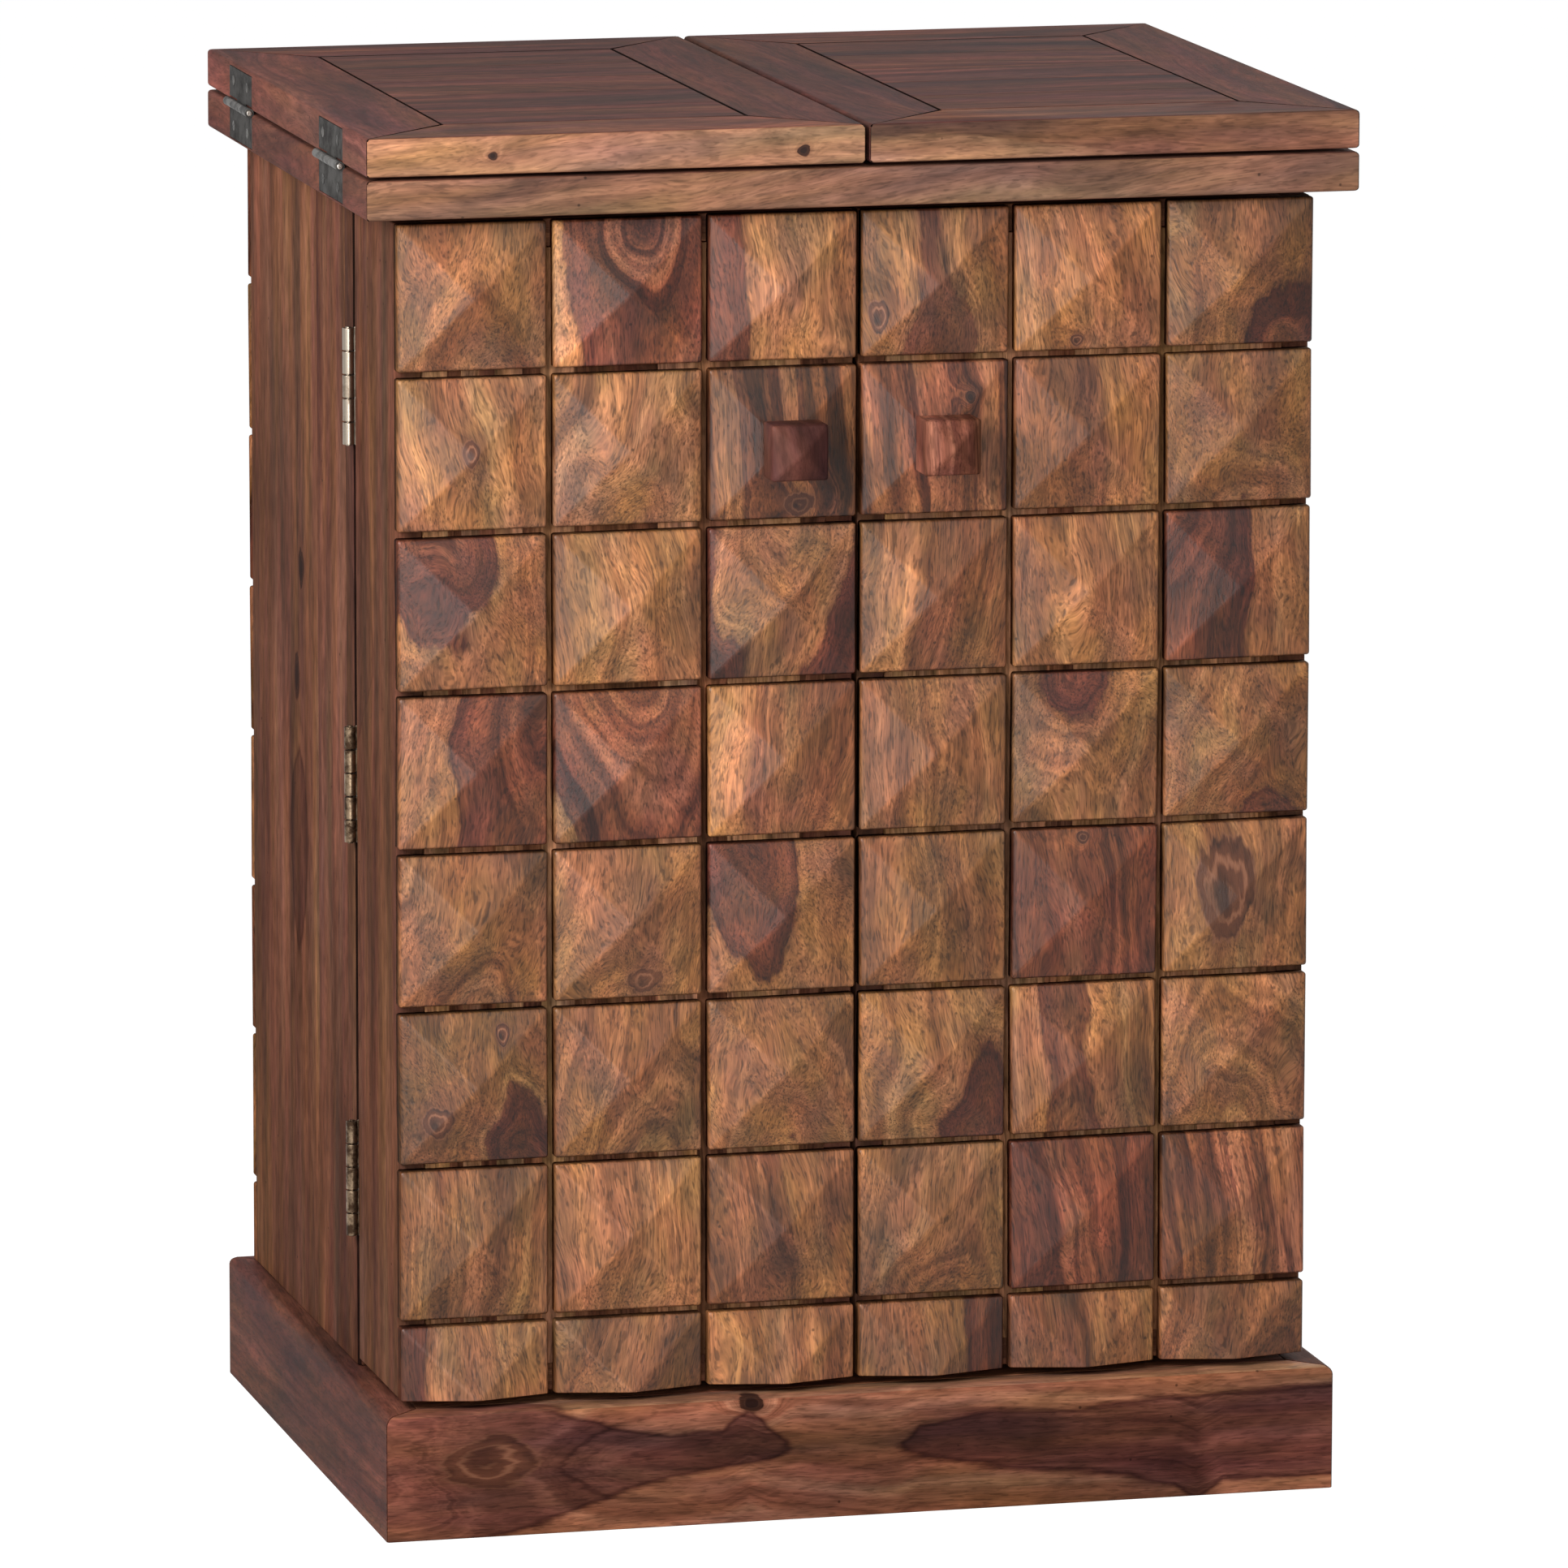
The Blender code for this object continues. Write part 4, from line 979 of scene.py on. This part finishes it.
leafHearts = {  # red heart along the top of the right leaf's front, over a pale wedge
    "right_leaf_front_rail": (
        (-166, -16, 12), (-100, -16, 14.5), (-30, -16, 19.5), (27, -16, 26), (90, -10, 60), (166, 0, 60),
    ),
}
leafKnots = {"left_leaf_front_rail": ((0.5, -81, 3, 3, 1), (3, 122, 4, 4, 1))}  # two dark eyes in front
for side, sign in sides.items():
    leaf = {
        "front_rail": (-axisY, "paleBoard" if sign < 0 else "streak"),
        "back_rail": (axisY, "board"),
        "hinge_stile": (axisX * sign, "board+"),
        "meeting_stile": (axisX * -sign, "board-"),
    }
    for part, (outward, figure) in leaf.items():
        node = f"{side}_leaf_{part}"
        low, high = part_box(node)
        pockets = pocketsOf(side, "leaf", low, high) if part == "hinge_stile" else ()
        knots, hearts = leafKnots.get(node, ()), leafHearts.get(node)
        piece = topBoard(node + "_wood", low, high, outward, figure, pockets, knots, hearts)
        install(piece, node)
    node = f"{side}_leaf_infill"
    low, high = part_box(node)
    inset = Vector((1, 1, 0)) * top["inset"]
    strips = gluedUp(
        node, low + inset, high - inset, axisX, axisZ, evenCuts(low.y, high.y, top["planks"]), 1,
        ("board", "board-", "board+"), "sheeshamTop", random.Random(node), gap=top["seam"],
        joint=lambda normal: abs(normal.x) > 0.3,
    )
    install(joinUp(node + "_wood", *strips), node)
print("top made")


# doors: deep boxes with shelves and bottle rails
railRound = 3 * mm
stileHearts = {  # two dark streaks along the back edge of the left door
    "left": (
        (-382, -64, 0.2), (-190, -64, 0.2), (-134, -64, 24), (-80, -64, 3), (20, -64, 3),
        (81, -64, 55), (175, -64, 46), (258, -64, 12), (330, -64, 0.2), (382, -64, 0.2),
    ),
}
for side, sign in sides.items():
    outer = axisX * sign
    figure = "streak---" if side in stileHearts else "paleBoard---"
    node = f"{side}_door_hinge_stile"
    oneBoard(node, axisZ, outer, figure, "sheeshamCase", stileHearts.get(side))
    oneBoard(f"{side}_door_meeting_stile", axisZ, -outer, "board", "sheeshamCase")
    for part in ("top_rail", "bottom", "shelf"):
        oneBoard(f"{side}_door_{part}", axisX, axisZ, "board", "sheeshamInner")
    for part in ("lower_bottle_rail", "upper_bottle_rail"):
        oneBoard(f"{side}_door_{part}", axisX, axisY, "board", "sheeshamInner", ease=railRound)
print("door boxes made")


# pyramid blocks
block = {
    "groove": 4.5 * mm, "pitch": 102.8 * mm, "firstGroove": 755.05 * mm,
    "wall": 10 * mm, "rise": 12 * mm, "soft": 1.7 * mm, "seat": 9.56 * mm, "ease": 0.5 * mm,
    "carrier": 9 * mm, "carrierFit": 0.3 * mm,
    "drift": 0.8 * mm, "flatten": 0.93, "skew": 0.4,  # how far a point strays, how low it gets, degrees
}
doorColumns, knobRow = 3, 1
backRows, backColumns, backSlats = 9, 6, 9
# what each block of the doors is sawn from, row by row from the top, left door and right door
frontFigures = (
    "sand- bowl-- stripLeft+  mound-- pale+ foot--",
    "pale- sand- deepStripe---  stripe- blushLeft cap-",
    "tongue- pale- vee-  blushRight- pale heartLeft-",
    "heartRight cup--- blushRight  pale-- nose- toe-",
    "sand-- sand- tongue-  pale-- dark pale-",
    "foot---- sand-- cap-  foot- ribbon cap",
    "pale--- pale- blushLeft--  sand-- dark stripe+",
    "stripLeft- sand--- pale-  stripRight-- blushLeft-- sand--",
)
frontKnots = {  # row and column: across and up from the middle of the block, half sizes in mm, strength
    (0, 3): ((-38, -21, 7, 11, 0.9),), (1, 0): ((-3, 1, 6, 9, 0.88),), (1, 2): ((10, -40, 11, 8, 0.97),),
    (1, 3): ((22, 26, 4, 4, 1),), (4, 4): ((-2, 43, 5, 4, 0.95),), (4, 5): ((-8, 5, 21, 33, 0.88),),
    (5, 0): ((-25, -22, 11, 10, 0.8), (18, 34, 5, 7, 0.9)), (0, 4): ((-8, -41, 5, 4, 0.9),),
    (1, 5): ((0, -8, 14, 24, 0.15),), (4, 1): ((10, -38, 12, 8, 0.7),),
}


def rowSpans(bottom, topEdge):  # lower and upper end of each row, from the top down
    full = block["pitch"] - block["groove"]
    rows = [(block["firstGroove"] + block["groove"] / 2, topEdge)]
    upper = block["firstGroove"] - block["groove"] / 2
    while upper - bottom > block["wall"]:
        rows.append((upper - full, upper))
        upper -= block["pitch"]
    return rows


def pyramidBlock(width, height, cutAt=None, seat=None):  # faces -Y, its rim in the plane y = 0
    half = Vector((width / 2, 0, height / 2))
    piece = addBlank("pyramidBlock", -half, half + axisY * block["wall"])
    choose(piece, "FACE", lambda face: face.normal.y < -0.9)
    bpy.ops.mesh.poke(offset=block["rise"])
    choose(piece, "EDGE", lambda edge: middleOf(edge).y < block["wall"] * 0.9)  # all but the glued back
    bpy.ops.mesh.bevel(offset=block["soft"], segments=3, affect="EDGES")
    if cutAt is not None:
        saw(piece, Vector((0, 0, cutAt)), -axisZ)
    if seat is not None:
        saw(piece, Vector((0, -seat, 0)), -axisY)
    settle(piece, 0 if cutAt is None and seat is None else block["ease"])
    return piece


def isWall(normal):
    return abs(normal.y) < 0.6


def blockField(low, high, columns, faceY, toBack, figureOf, knotsOf, knobAt, dice):
    width = (high.x - low.x - (columns - 1) * block["groove"]) / columns
    turn = Matrix.Rotation(math.pi, 4, "Z") if toBack else Matrix.Identity(4)
    face = axisY if toBack else -axisY
    blocks, masters = [], {}
    for row, (lower, upper) in enumerate(rowSpans(low.z, high.z)):
        height = upper - lower
        centreZ = (lower + upper) / 2
        cutAt = low.z - centreZ if lower < low.z else None
        for column in range(columns):
            seat = block["seat"] if (row, column) == knobAt else None
            kind = (round(height, 5), cutAt, seat)
            if kind not in masters:
                masters[kind] = pyramidBlock(width, height, cutAt, seat)
            x = low.x + width / 2 + column * (width + block["groove"])
            place = Vector((x, faceY, centreZ))
            twin = copyOf(masters[kind], "block", Matrix.Identity(4))
            drift = [dice.uniform(-block["drift"], block["drift"]) for axis in range(2)]
            flatten = dice.uniform(block["flatten"], 1.0)
            for point in twin.data.vertices:  # no two hand-sawn points are alike
                lift = max(0, -point.co.y) / block["rise"]
                if seat is None and lift:
                    point.co.x += drift[0] * lift
                    point.co.z += drift[1] * lift * (cutAt is None)
                    point.co.y *= flatten
            skew = math.radians(dice.uniform(-block["skew"], block["skew"])) * (cutAt is None)
            twin.data.transform(Matrix.Translation(place) @ turn @ Matrix.Rotation(skew, 4, "Y"))
            centre = place + face * block["rise"] / 2
            reach = (width / 2, height / 2)
            layGrain(twin, axisZ, face, figureOf(row, column), dice, centre, knotsOf(row, column), reach)
            finish(twin, woods["sheeshamBlocks"], (woods["sheeshamWalls"], isWall))
            blocks.append(twin)
    for master in masters.values():
        bpy.data.objects.remove(master)
    return blocks


# slats of the board behind the blocks, as the grooves show them: width in mm and figure, from the left
slats = {
    "left": (
        (16, "paleBoard"), (9, "board"), (12, "paleBoard-"), (10, "board+"), (18, "paleBoard"),
        (12, "board"), (22, "paleBoard-"), (55, "board"), (26, "paleBoard+"), (20, "board-"),
        (48, "paleBoard"), (60, "board"),
    ),
    "right": (
        (34, "paleBoard-"), (30, "paleBoard--"), (44, "paleBoard-"), (18, "board+"), (52, "paleBoard-"),
        (34, "paleBoard--"), (40, "paleBoard-"), (24, "board+"), (46, "paleBoard-"),
    ),
}
narrowSlat = 5 * mm  # a last slat is no narrower


def slatCuts(start, end, widths):
    cuts = [start]
    for width in widths[:-1]:
        cuts.append(cuts[-1] + width * mm)
    return [cut for cut in cuts[1:] if end - cut > narrowSlat]


def makeDoorFront(side, sign):
    node = f"{side}_door_front"
    low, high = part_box(node)
    railLow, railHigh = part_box(f"{side}_door_top_rail")
    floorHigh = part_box(f"{side}_door_bottom")[1]
    dice = random.Random(node)
    offset = 0 if sign < 0 else doorColumns
    carrierLow = Vector((railLow.x, high.y - block["carrier"], floorHigh.z + block["carrierFit"]))
    carrierHigh = Vector((railHigh.x, high.y, railLow.z - block["carrierFit"]))
    widths, kinds = zip(*slats[side])
    cuts = slatCuts(carrierLow.x, carrierHigh.x, widths)
    carriers = gluedUp(
        node, carrierLow, carrierHigh, axisZ, -axisY, cuts, 0, kinds, "sheeshamCarrier", dice, ease=slatEase
    )
    for carrier in carriers:  # planed on the side that shows in the open door
        finish(carrier, woods["sheeshamCarrier"], (woods["sheeshamLining"], lambda normal: normal.y > 0.5))
    blocks = blockField(
        low, high, doorColumns, low.y + block["rise"], False,
        lambda row, column: frontFigures[row].split()[column + offset],
        lambda row, column: frontKnots.get((row, column + offset), ()),
        (knobRow, doorColumns - 1 if sign < 0 else 0), dice,
    )
    install(joinUp(node + "_wood", *carriers, *blocks), node)


for side, sign in sides.items():
    makeDoorFront(side, sign)
print("door fronts made")


backFigures = "pale pale- sand sand- dark stripe cap cup tongue foot heartLeft heartRight blushLeft".split()


def makeBack():
    low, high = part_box("back_panel")
    inLow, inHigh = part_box("middle_shelf")
    dice = random.Random("back")
    chosen = {
        (row, column): dice.choice(backFigures) for row in range(backRows) for column in range(backColumns)
    }
    carriers = gluedUp(
        "back_panel", Vector((inLow.x, low.y, low.z)), Vector((inHigh.x, low.y + block["carrier"], high.z)),
        axisZ, -axisY, evenCuts(inLow.x, inHigh.x, backSlats), 0, ("board", "paleBoard", "board+"),
        "sheeshamLining", dice, ease=slatEase,
    )
    blocks = blockField(
        low, high, backColumns, high.y - block["rise"], True,
        lambda row, column: chosen[row, column], lambda row, column: (), None, dice,
    )
    install(joinUp("back_panel_wood", *carriers, *blocks), "back_panel")


makeBack()
print("back made")


# knobs: a square head with a pyramid face on a turned neck
knob = {
    "head": 24 * mm, "point": 8 * mm, "soft": 1.6 * mm,
    "neck": 12 * mm, "neckRadius": 8 * mm, "neckSoft": 1.2 * mm,
}


def makeKnob(side, figure, wood):
    node = f"{side}_door_knob"
    low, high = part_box(node)
    face = low.y + knob["point"]
    head = addBlank(node, Vector((low.x, face, low.z)), Vector((high.x, face + knob["head"], high.z)))
    choose(head, "FACE", lambda part: part.normal.y < -0.9)
    bpy.ops.mesh.poke(offset=knob["point"])
    choose(head, "EDGE", lambda edge: True)
    bpy.ops.mesh.bevel(offset=knob["soft"], segments=4, affect="EDGES")
    settle(head, 0)
    middle = Vector(((low.x + high.x) / 2, high.y - knob["neck"] / 2, (low.z + high.z) / 2))
    neck = addRod("neck", middle, axisY, knob["neck"], knob["neckRadius"], 48)
    choose(neck, "EDGE", lambda edge: not runsAlong(edge, axisY) and middleOf(edge).y > high.y - touch)
    bpy.ops.mesh.bevel(offset=knob["neckSoft"], segments=3, affect="EDGES")
    settle(neck, 0)
    for part in (head, neck):
        layGrain(part, axisZ, -axisY, figure, random.Random(node), centre=(low + high) / 2)
        finish(part, woods[wood])
    install(joinUp(node + "_wood", head, neck), node)


makeKnob("left", "dark---", "sheeshamKnobs")
makeKnob("right", "stripe-", "sheeshamPlinth")
print("knobs made")


# screws: a countersunk head with a sawn slot, in shares of its height and its radius
screwHead = {"round": 0.6, "slotFloor": 0.3, "slotReach": 1.2, "slotHalf": 0.14}


def makeScrew(radius, height):  # at the origin, its head up the z axis
    piece = addRod("screw", Vector((0, 0, 0)), axisZ, 2 * height, radius, 24)
    choose(piece, "EDGE", lambda edge: not runsAlong(edge, axisZ) and middleOf(edge).z > 0)
    bpy.ops.mesh.bevel(offset=height * screwHead["round"], segments=2, affect="EDGES")
    reach, half = radius * screwHead["slotReach"], radius * screwHead["slotHalf"]
    slotLow = Vector((-reach, -half, height * screwHead["slotFloor"]))
    cutOut(piece, slotLow, Vector((reach, half, height * 2)))
    settle(piece, 0)
    return piece


def driveScrews(screw, spots, facing, dice):
    made = []
    for spot in spots:
        turn = axisZ.rotation_difference(facing).to_matrix().to_4x4()
        slot = Matrix.Rotation(dice.uniform(0, 3), 4, "Z")
        made.append(copyOf(screw, "screw", Matrix.Translation(spot) @ turn @ slot))
    return made


def barrel(name, centre, along, spans, radius, ease):  # rolled knuckles along a pin
    rings = []
    for start, end in spans:
        ring = addRod(name, centre + along * (start + end) / 2, along, end - start, radius, 40)
        settle(ring, ease, 2)
        rings.append(ring)
    return rings


def knuckleSpans(length, count, gap):
    pitch = length / count
    starts = [i * pitch - length / 2 for i in range(count)]
    return [(start + gap / 2, start + pitch - gap / 2) for start in starts]


plateEase = 0.25 * mm


def hingePlate(name, low, high, along, towards, own, tab):
    # a plate with a tab to each of its own knuckles; towards points at the pin
    piece = addBlank(name, low, high)
    middle = (low + high).dot(along) / 2
    for level in [edge for span in own for edge in span]:
        choose(piece, "FACE", lambda face: True)
        bpy.ops.mesh.bisect(plane_co=along * (middle + level), plane_no=along)
    near = max(low.dot(towards), high.dot(towards))

    def tabFace(face):
        spot = middleOf(face)
        atPin = face.normal.dot(towards) > 0.9 and abs(spot.dot(towards) - near) < touch
        return atPin and any(start < spot.dot(along) - middle < end for start, end in own)

    choose(piece, "FACE", tabFace)
    bpy.ops.mesh.extrude_region_move(TRANSFORM_OT_translate={"value": towards * tab})
    settle(piece, plateEase)
    return piece


doorHinge = {
    "knuckles": 5, "radius": 3.8 * mm, "gap": 1.0 * mm, "ease": 0.35 * mm,
    "plate": 1.2 * mm, "seam": 0.2 * mm, "clear": 0.4 * mm,
    "screw": 3.2 * mm, "head": 0.12 * mm, "spacing": 25 * mm, "stagger": 2 * mm,
    "pin": 1.7 * mm, "pinProud": 0.6 * mm, "pinEase": 0.25 * mm,
    "finishes": ("agedBrass", "agedBrass", "nickelledSteel"),  # from the lowest up
}


def makeDoorHinge(side, sign, half):  # modelled at the lowest place, then copied up
    own = 0 if half == "case" else 1
    size = doorHinge
    node = f"{side}_door_hinge_1_{half}_plate"
    low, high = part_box(node)
    pin = (low + high) / 2
    pin.x = sign * (max(abs(low.x), abs(high.x)) - size["radius"])
    spans = knuckleSpans(high.z - low.z, size["knuckles"], size["gap"])[own::2]
    parts = barrel(node, pin, axisZ, spans, size["radius"], size["ease"])
    depth = 1 if half == "case" else -1
    reach = min(abs(low.x), abs(high.x))
    start = abs(pin.x) - size["radius"] - size["clear"]
    ys = sorted((pin.y + depth * size["seam"], pin.y + depth * (size["seam"] + size["plate"])))
    xs = sorted((sign * reach, sign * start))
    plateLow = Vector((xs[0], ys[0], low.z))
    plateHigh = Vector((xs[1], ys[1], high.z))
    tab = size["radius"] * 0.5 + size["clear"]
    parts.append(hingePlate(node, plateLow, plateHigh, axisZ, axisX * sign, spans, tab))
    screw = makeScrew(size["screw"], size["head"])
    spots = []
    for i in (-1, 0, 1):
        x = sign * ((reach + start) / 2 + size["stagger"] * (-1) ** (i + 1))
        spots.append(Vector((x, pin.y + depth * size["seam"], pin.z + i * size["spacing"])))
    screws = driveScrews(screw, spots, axisY * -depth, random.Random(node))
    bpy.data.objects.remove(screw)
    if half == "case":
        rod = addRod("pin", pin, axisZ, high.z - low.z + size["pinProud"], size["pin"], 24)
        settle(rod, size["pinEase"])
        parts.append(rod)
    model = joinUp("doorHinge", *parts, *screws)
    for i in (1, 2, 3):
        place = f"{side}_door_hinge_{i}_{half}_plate"
        lift = Matrix.Translation(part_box(place)[0] - low)
        twin = copyOf(model, place + "_metal", lift)
        finish(twin, metals[size["finishes"][i - 1]])
        install(twin, place)
    bpy.data.objects.remove(model)


for side, sign in sides.items():
    for half in ("case", "door"):
        makeDoorHinge(side, sign, half)
print("door hinges made")

topHinge = {
    "knuckles": 3, "radius": 3.0 * mm, "gap": 0.4 * mm, "ease": 0.3 * mm,
    "plate": 1.4 * mm, "clear": 0.4 * mm,
    "screw": 3.4 * mm, "head": 0.45 * mm, "spacing": 22 * mm, "screwUp": 1.5 * mm,
    "pin": 1.9 * mm, "pinProud": 0.8 * mm, "pinEase": 0.4 * mm,
}


def makeTopHinge(side, sign, half):
    size = topHinge
    up = -1 if half == "board" else 1
    own = 0 if half == "board" else 1
    node = f"{side}_top_hinge_front_{half}_plate"
    low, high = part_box(node)
    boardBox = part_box(f"{side}_top_hinge_front_board_plate")
    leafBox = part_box(f"{side}_top_hinge_front_leaf_plate")
    pinZ = (boardBox[1].z + leafBox[0].z) / 2
    pinX = sign * (max(abs(low.x), abs(high.x)) - size["radius"])
    pin = Vector((pinX, (low.y + high.y) / 2, pinZ))
    spans = knuckleSpans(high.y - low.y, size["knuckles"], size["gap"])[own::2]
    parts = barrel(node, pin, axisY, spans, size["radius"], size["ease"])
    inner = min(abs(low.x), abs(high.x))
    xs = sorted((sign * inner, sign * (inner + size["plate"])))
    start = pinZ + up * (size["radius"] + size["clear"])
    end = high.z if up > 0 else low.z
    zs = sorted((start, end))
    plateLow = Vector((xs[0], low.y, zs[0]))
    plateHigh = Vector((xs[1], high.y, zs[1]))
    tab = size["radius"] + size["clear"]
    parts.append(hingePlate(node, plateLow, plateHigh, axisY, axisZ * -up, spans, tab))
    screw = makeScrew(size["screw"], size["head"])
    faceX = sign * (inner + size["plate"])
    level = (start + end) / 2 + up * size["screwUp"]
    spots = [Vector((faceX, pin.y + i * size["spacing"], level)) for i in (-1, 1)]
    screws = driveScrews(screw, spots, axisX * sign, random.Random(node))
    bpy.data.objects.remove(screw)
    for part in parts + screws:
        finish(part, metals["blackenedIron" if part == parts[-1] else "rubbedIron"])
    if half == "board":
        rod = addRod("pin", pin, axisY, high.y - low.y + size["pinProud"], size["pin"], 24)
        settle(rod, size["pinEase"])
        finish(rod, metals["brightPin"])
        parts.append(rod)
    model = joinUp("topHinge", *parts, *screws)
    for end in ("front", "back"):
        place = f"{side}_top_hinge_{end}_{half}_plate"
        slide = Matrix.Translation(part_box(place)[0] - low)
        install(copyOf(model, place + "_metal", slide), place)
    bpy.data.objects.remove(model)


for side, sign in sides.items():
    for half in ("board", "leaf"):
        makeTopHinge(side, sign, half)
print("top hinges made")


# studio: a softbox at the upper left, two weaker ones before the doors that put a sheen on their facets,
# one for the back and the right side, an even room and a white floor
studio = {
    "key": {"place": (-1.45, -1.25, 1.35), "size": 0.9, "watts": 48},
    "low": {"place": (-0.65, -2.1, 0.45), "size": 0.8, "watts": 14},
    "over": {"place": (0.45, -1.8, 1.3), "size": 0.8, "watts": 3},
    "back": {"place": (2.1, 1.5, 1.5), "size": 1.2, "watts": 34},
    "aim": (0, -0.2, 0.5),
    "room": 0.16, "floor": 0.2, "floorLift": 0.97, "floorSize": 60,
}


def seenBy(add):  # 1 for what the camera sees, also in a mirror or through glass
    rays = add("LightPath", {}).node.outputs
    seen = add("Math", {0: rays["Is Camera Ray"], 1: rays["Is Glossy Ray"]}, operation="MAXIMUM")
    return add("Math", {0: seen, 1: rays["Is Transmission Ray"]}, operation="MAXIMUM")


def makeStudio():
    pickOnly()
    for name in ("key", "low", "over", "back"):
        place = Vector(studio[name]["place"])
        towards = place - Vector(studio["aim"])
        turn = towards.to_track_quat("Z", "Y").to_euler()
        bpy.ops.object.light_add(type="AREA", location=place, rotation=turn)
        box = bpy.context.object
        box.name = name + "Softbox"
        box.visible_camera = False
        box.data.size = studio[name]["size"]
        box.data.energy = studio[name]["watts"]

    bpy.ops.mesh.primitive_plane_add(size=studio["floorSize"])
    floor = takeUp("floor")
    material, add, shader, link = newMaterial("paintedFloor")
    lift = add("Math", {0: seenBy(add), 1: studio["floorLift"]}, operation="MULTIPLY")
    shader["Base Color"].default_value = (studio["floor"],) * 3 + (1,)
    shader["Roughness"].default_value = 0.9
    shader["Specular IOR Level"].default_value = 0
    shader["Emission Color"].default_value = (1, 1, 1, 1)
    link(lift, shader["Emission Strength"])
    floor.data.materials.append(material)

    world = bpy.data.worlds.new("room")
    bpy.context.scene.world = world
    world.use_nodes = True
    tree = world.node_tree
    add = partial(addNode, tree)
    level = add("MapRange", {"Value": seenBy(add), "To Min": studio["room"], "To Max": 1})
    tree.links.new(level, tree.nodes["Background"].inputs["Strength"])
    tree.nodes["Background"].inputs["Color"].default_value = (1, 1, 1, 1)
    bpy.context.scene.view_settings.view_transform = "Standard"


makeStudio()

camera = {  # found from the cabinet's own corners in the photograph
    "place": (-1.9297, -7.5950, 1.8592),  # metres
    "turn": 14.29, "drop": 10.25, "roll": 0.11,  # degrees
    "focal": 14815, "image": 1932,  # pixels
    "sensor": 36,
}


def makeCamera():
    pickOnly()
    bpy.ops.object.camera_add(location=camera["place"])
    eye = bpy.context.object
    eye.name = "photoCamera"
    turn = Matrix.Rotation(math.radians(-camera["turn"]), 4, "Z")
    drop = Matrix.Rotation(math.radians(90 - camera["drop"]), 4, "X")
    roll = Matrix.Rotation(math.radians(camera["roll"]), 4, "Z")
    eye.rotation_euler = (turn @ drop @ roll).to_euler()
    eye.data.sensor_width = camera["sensor"]
    eye.data.lens = camera["focal"] / camera["image"] * camera["sensor"]
    eye.data.clip_end = 100
    bpy.context.scene.camera = eye


makeCamera()
print("studio made")

pickOnly()
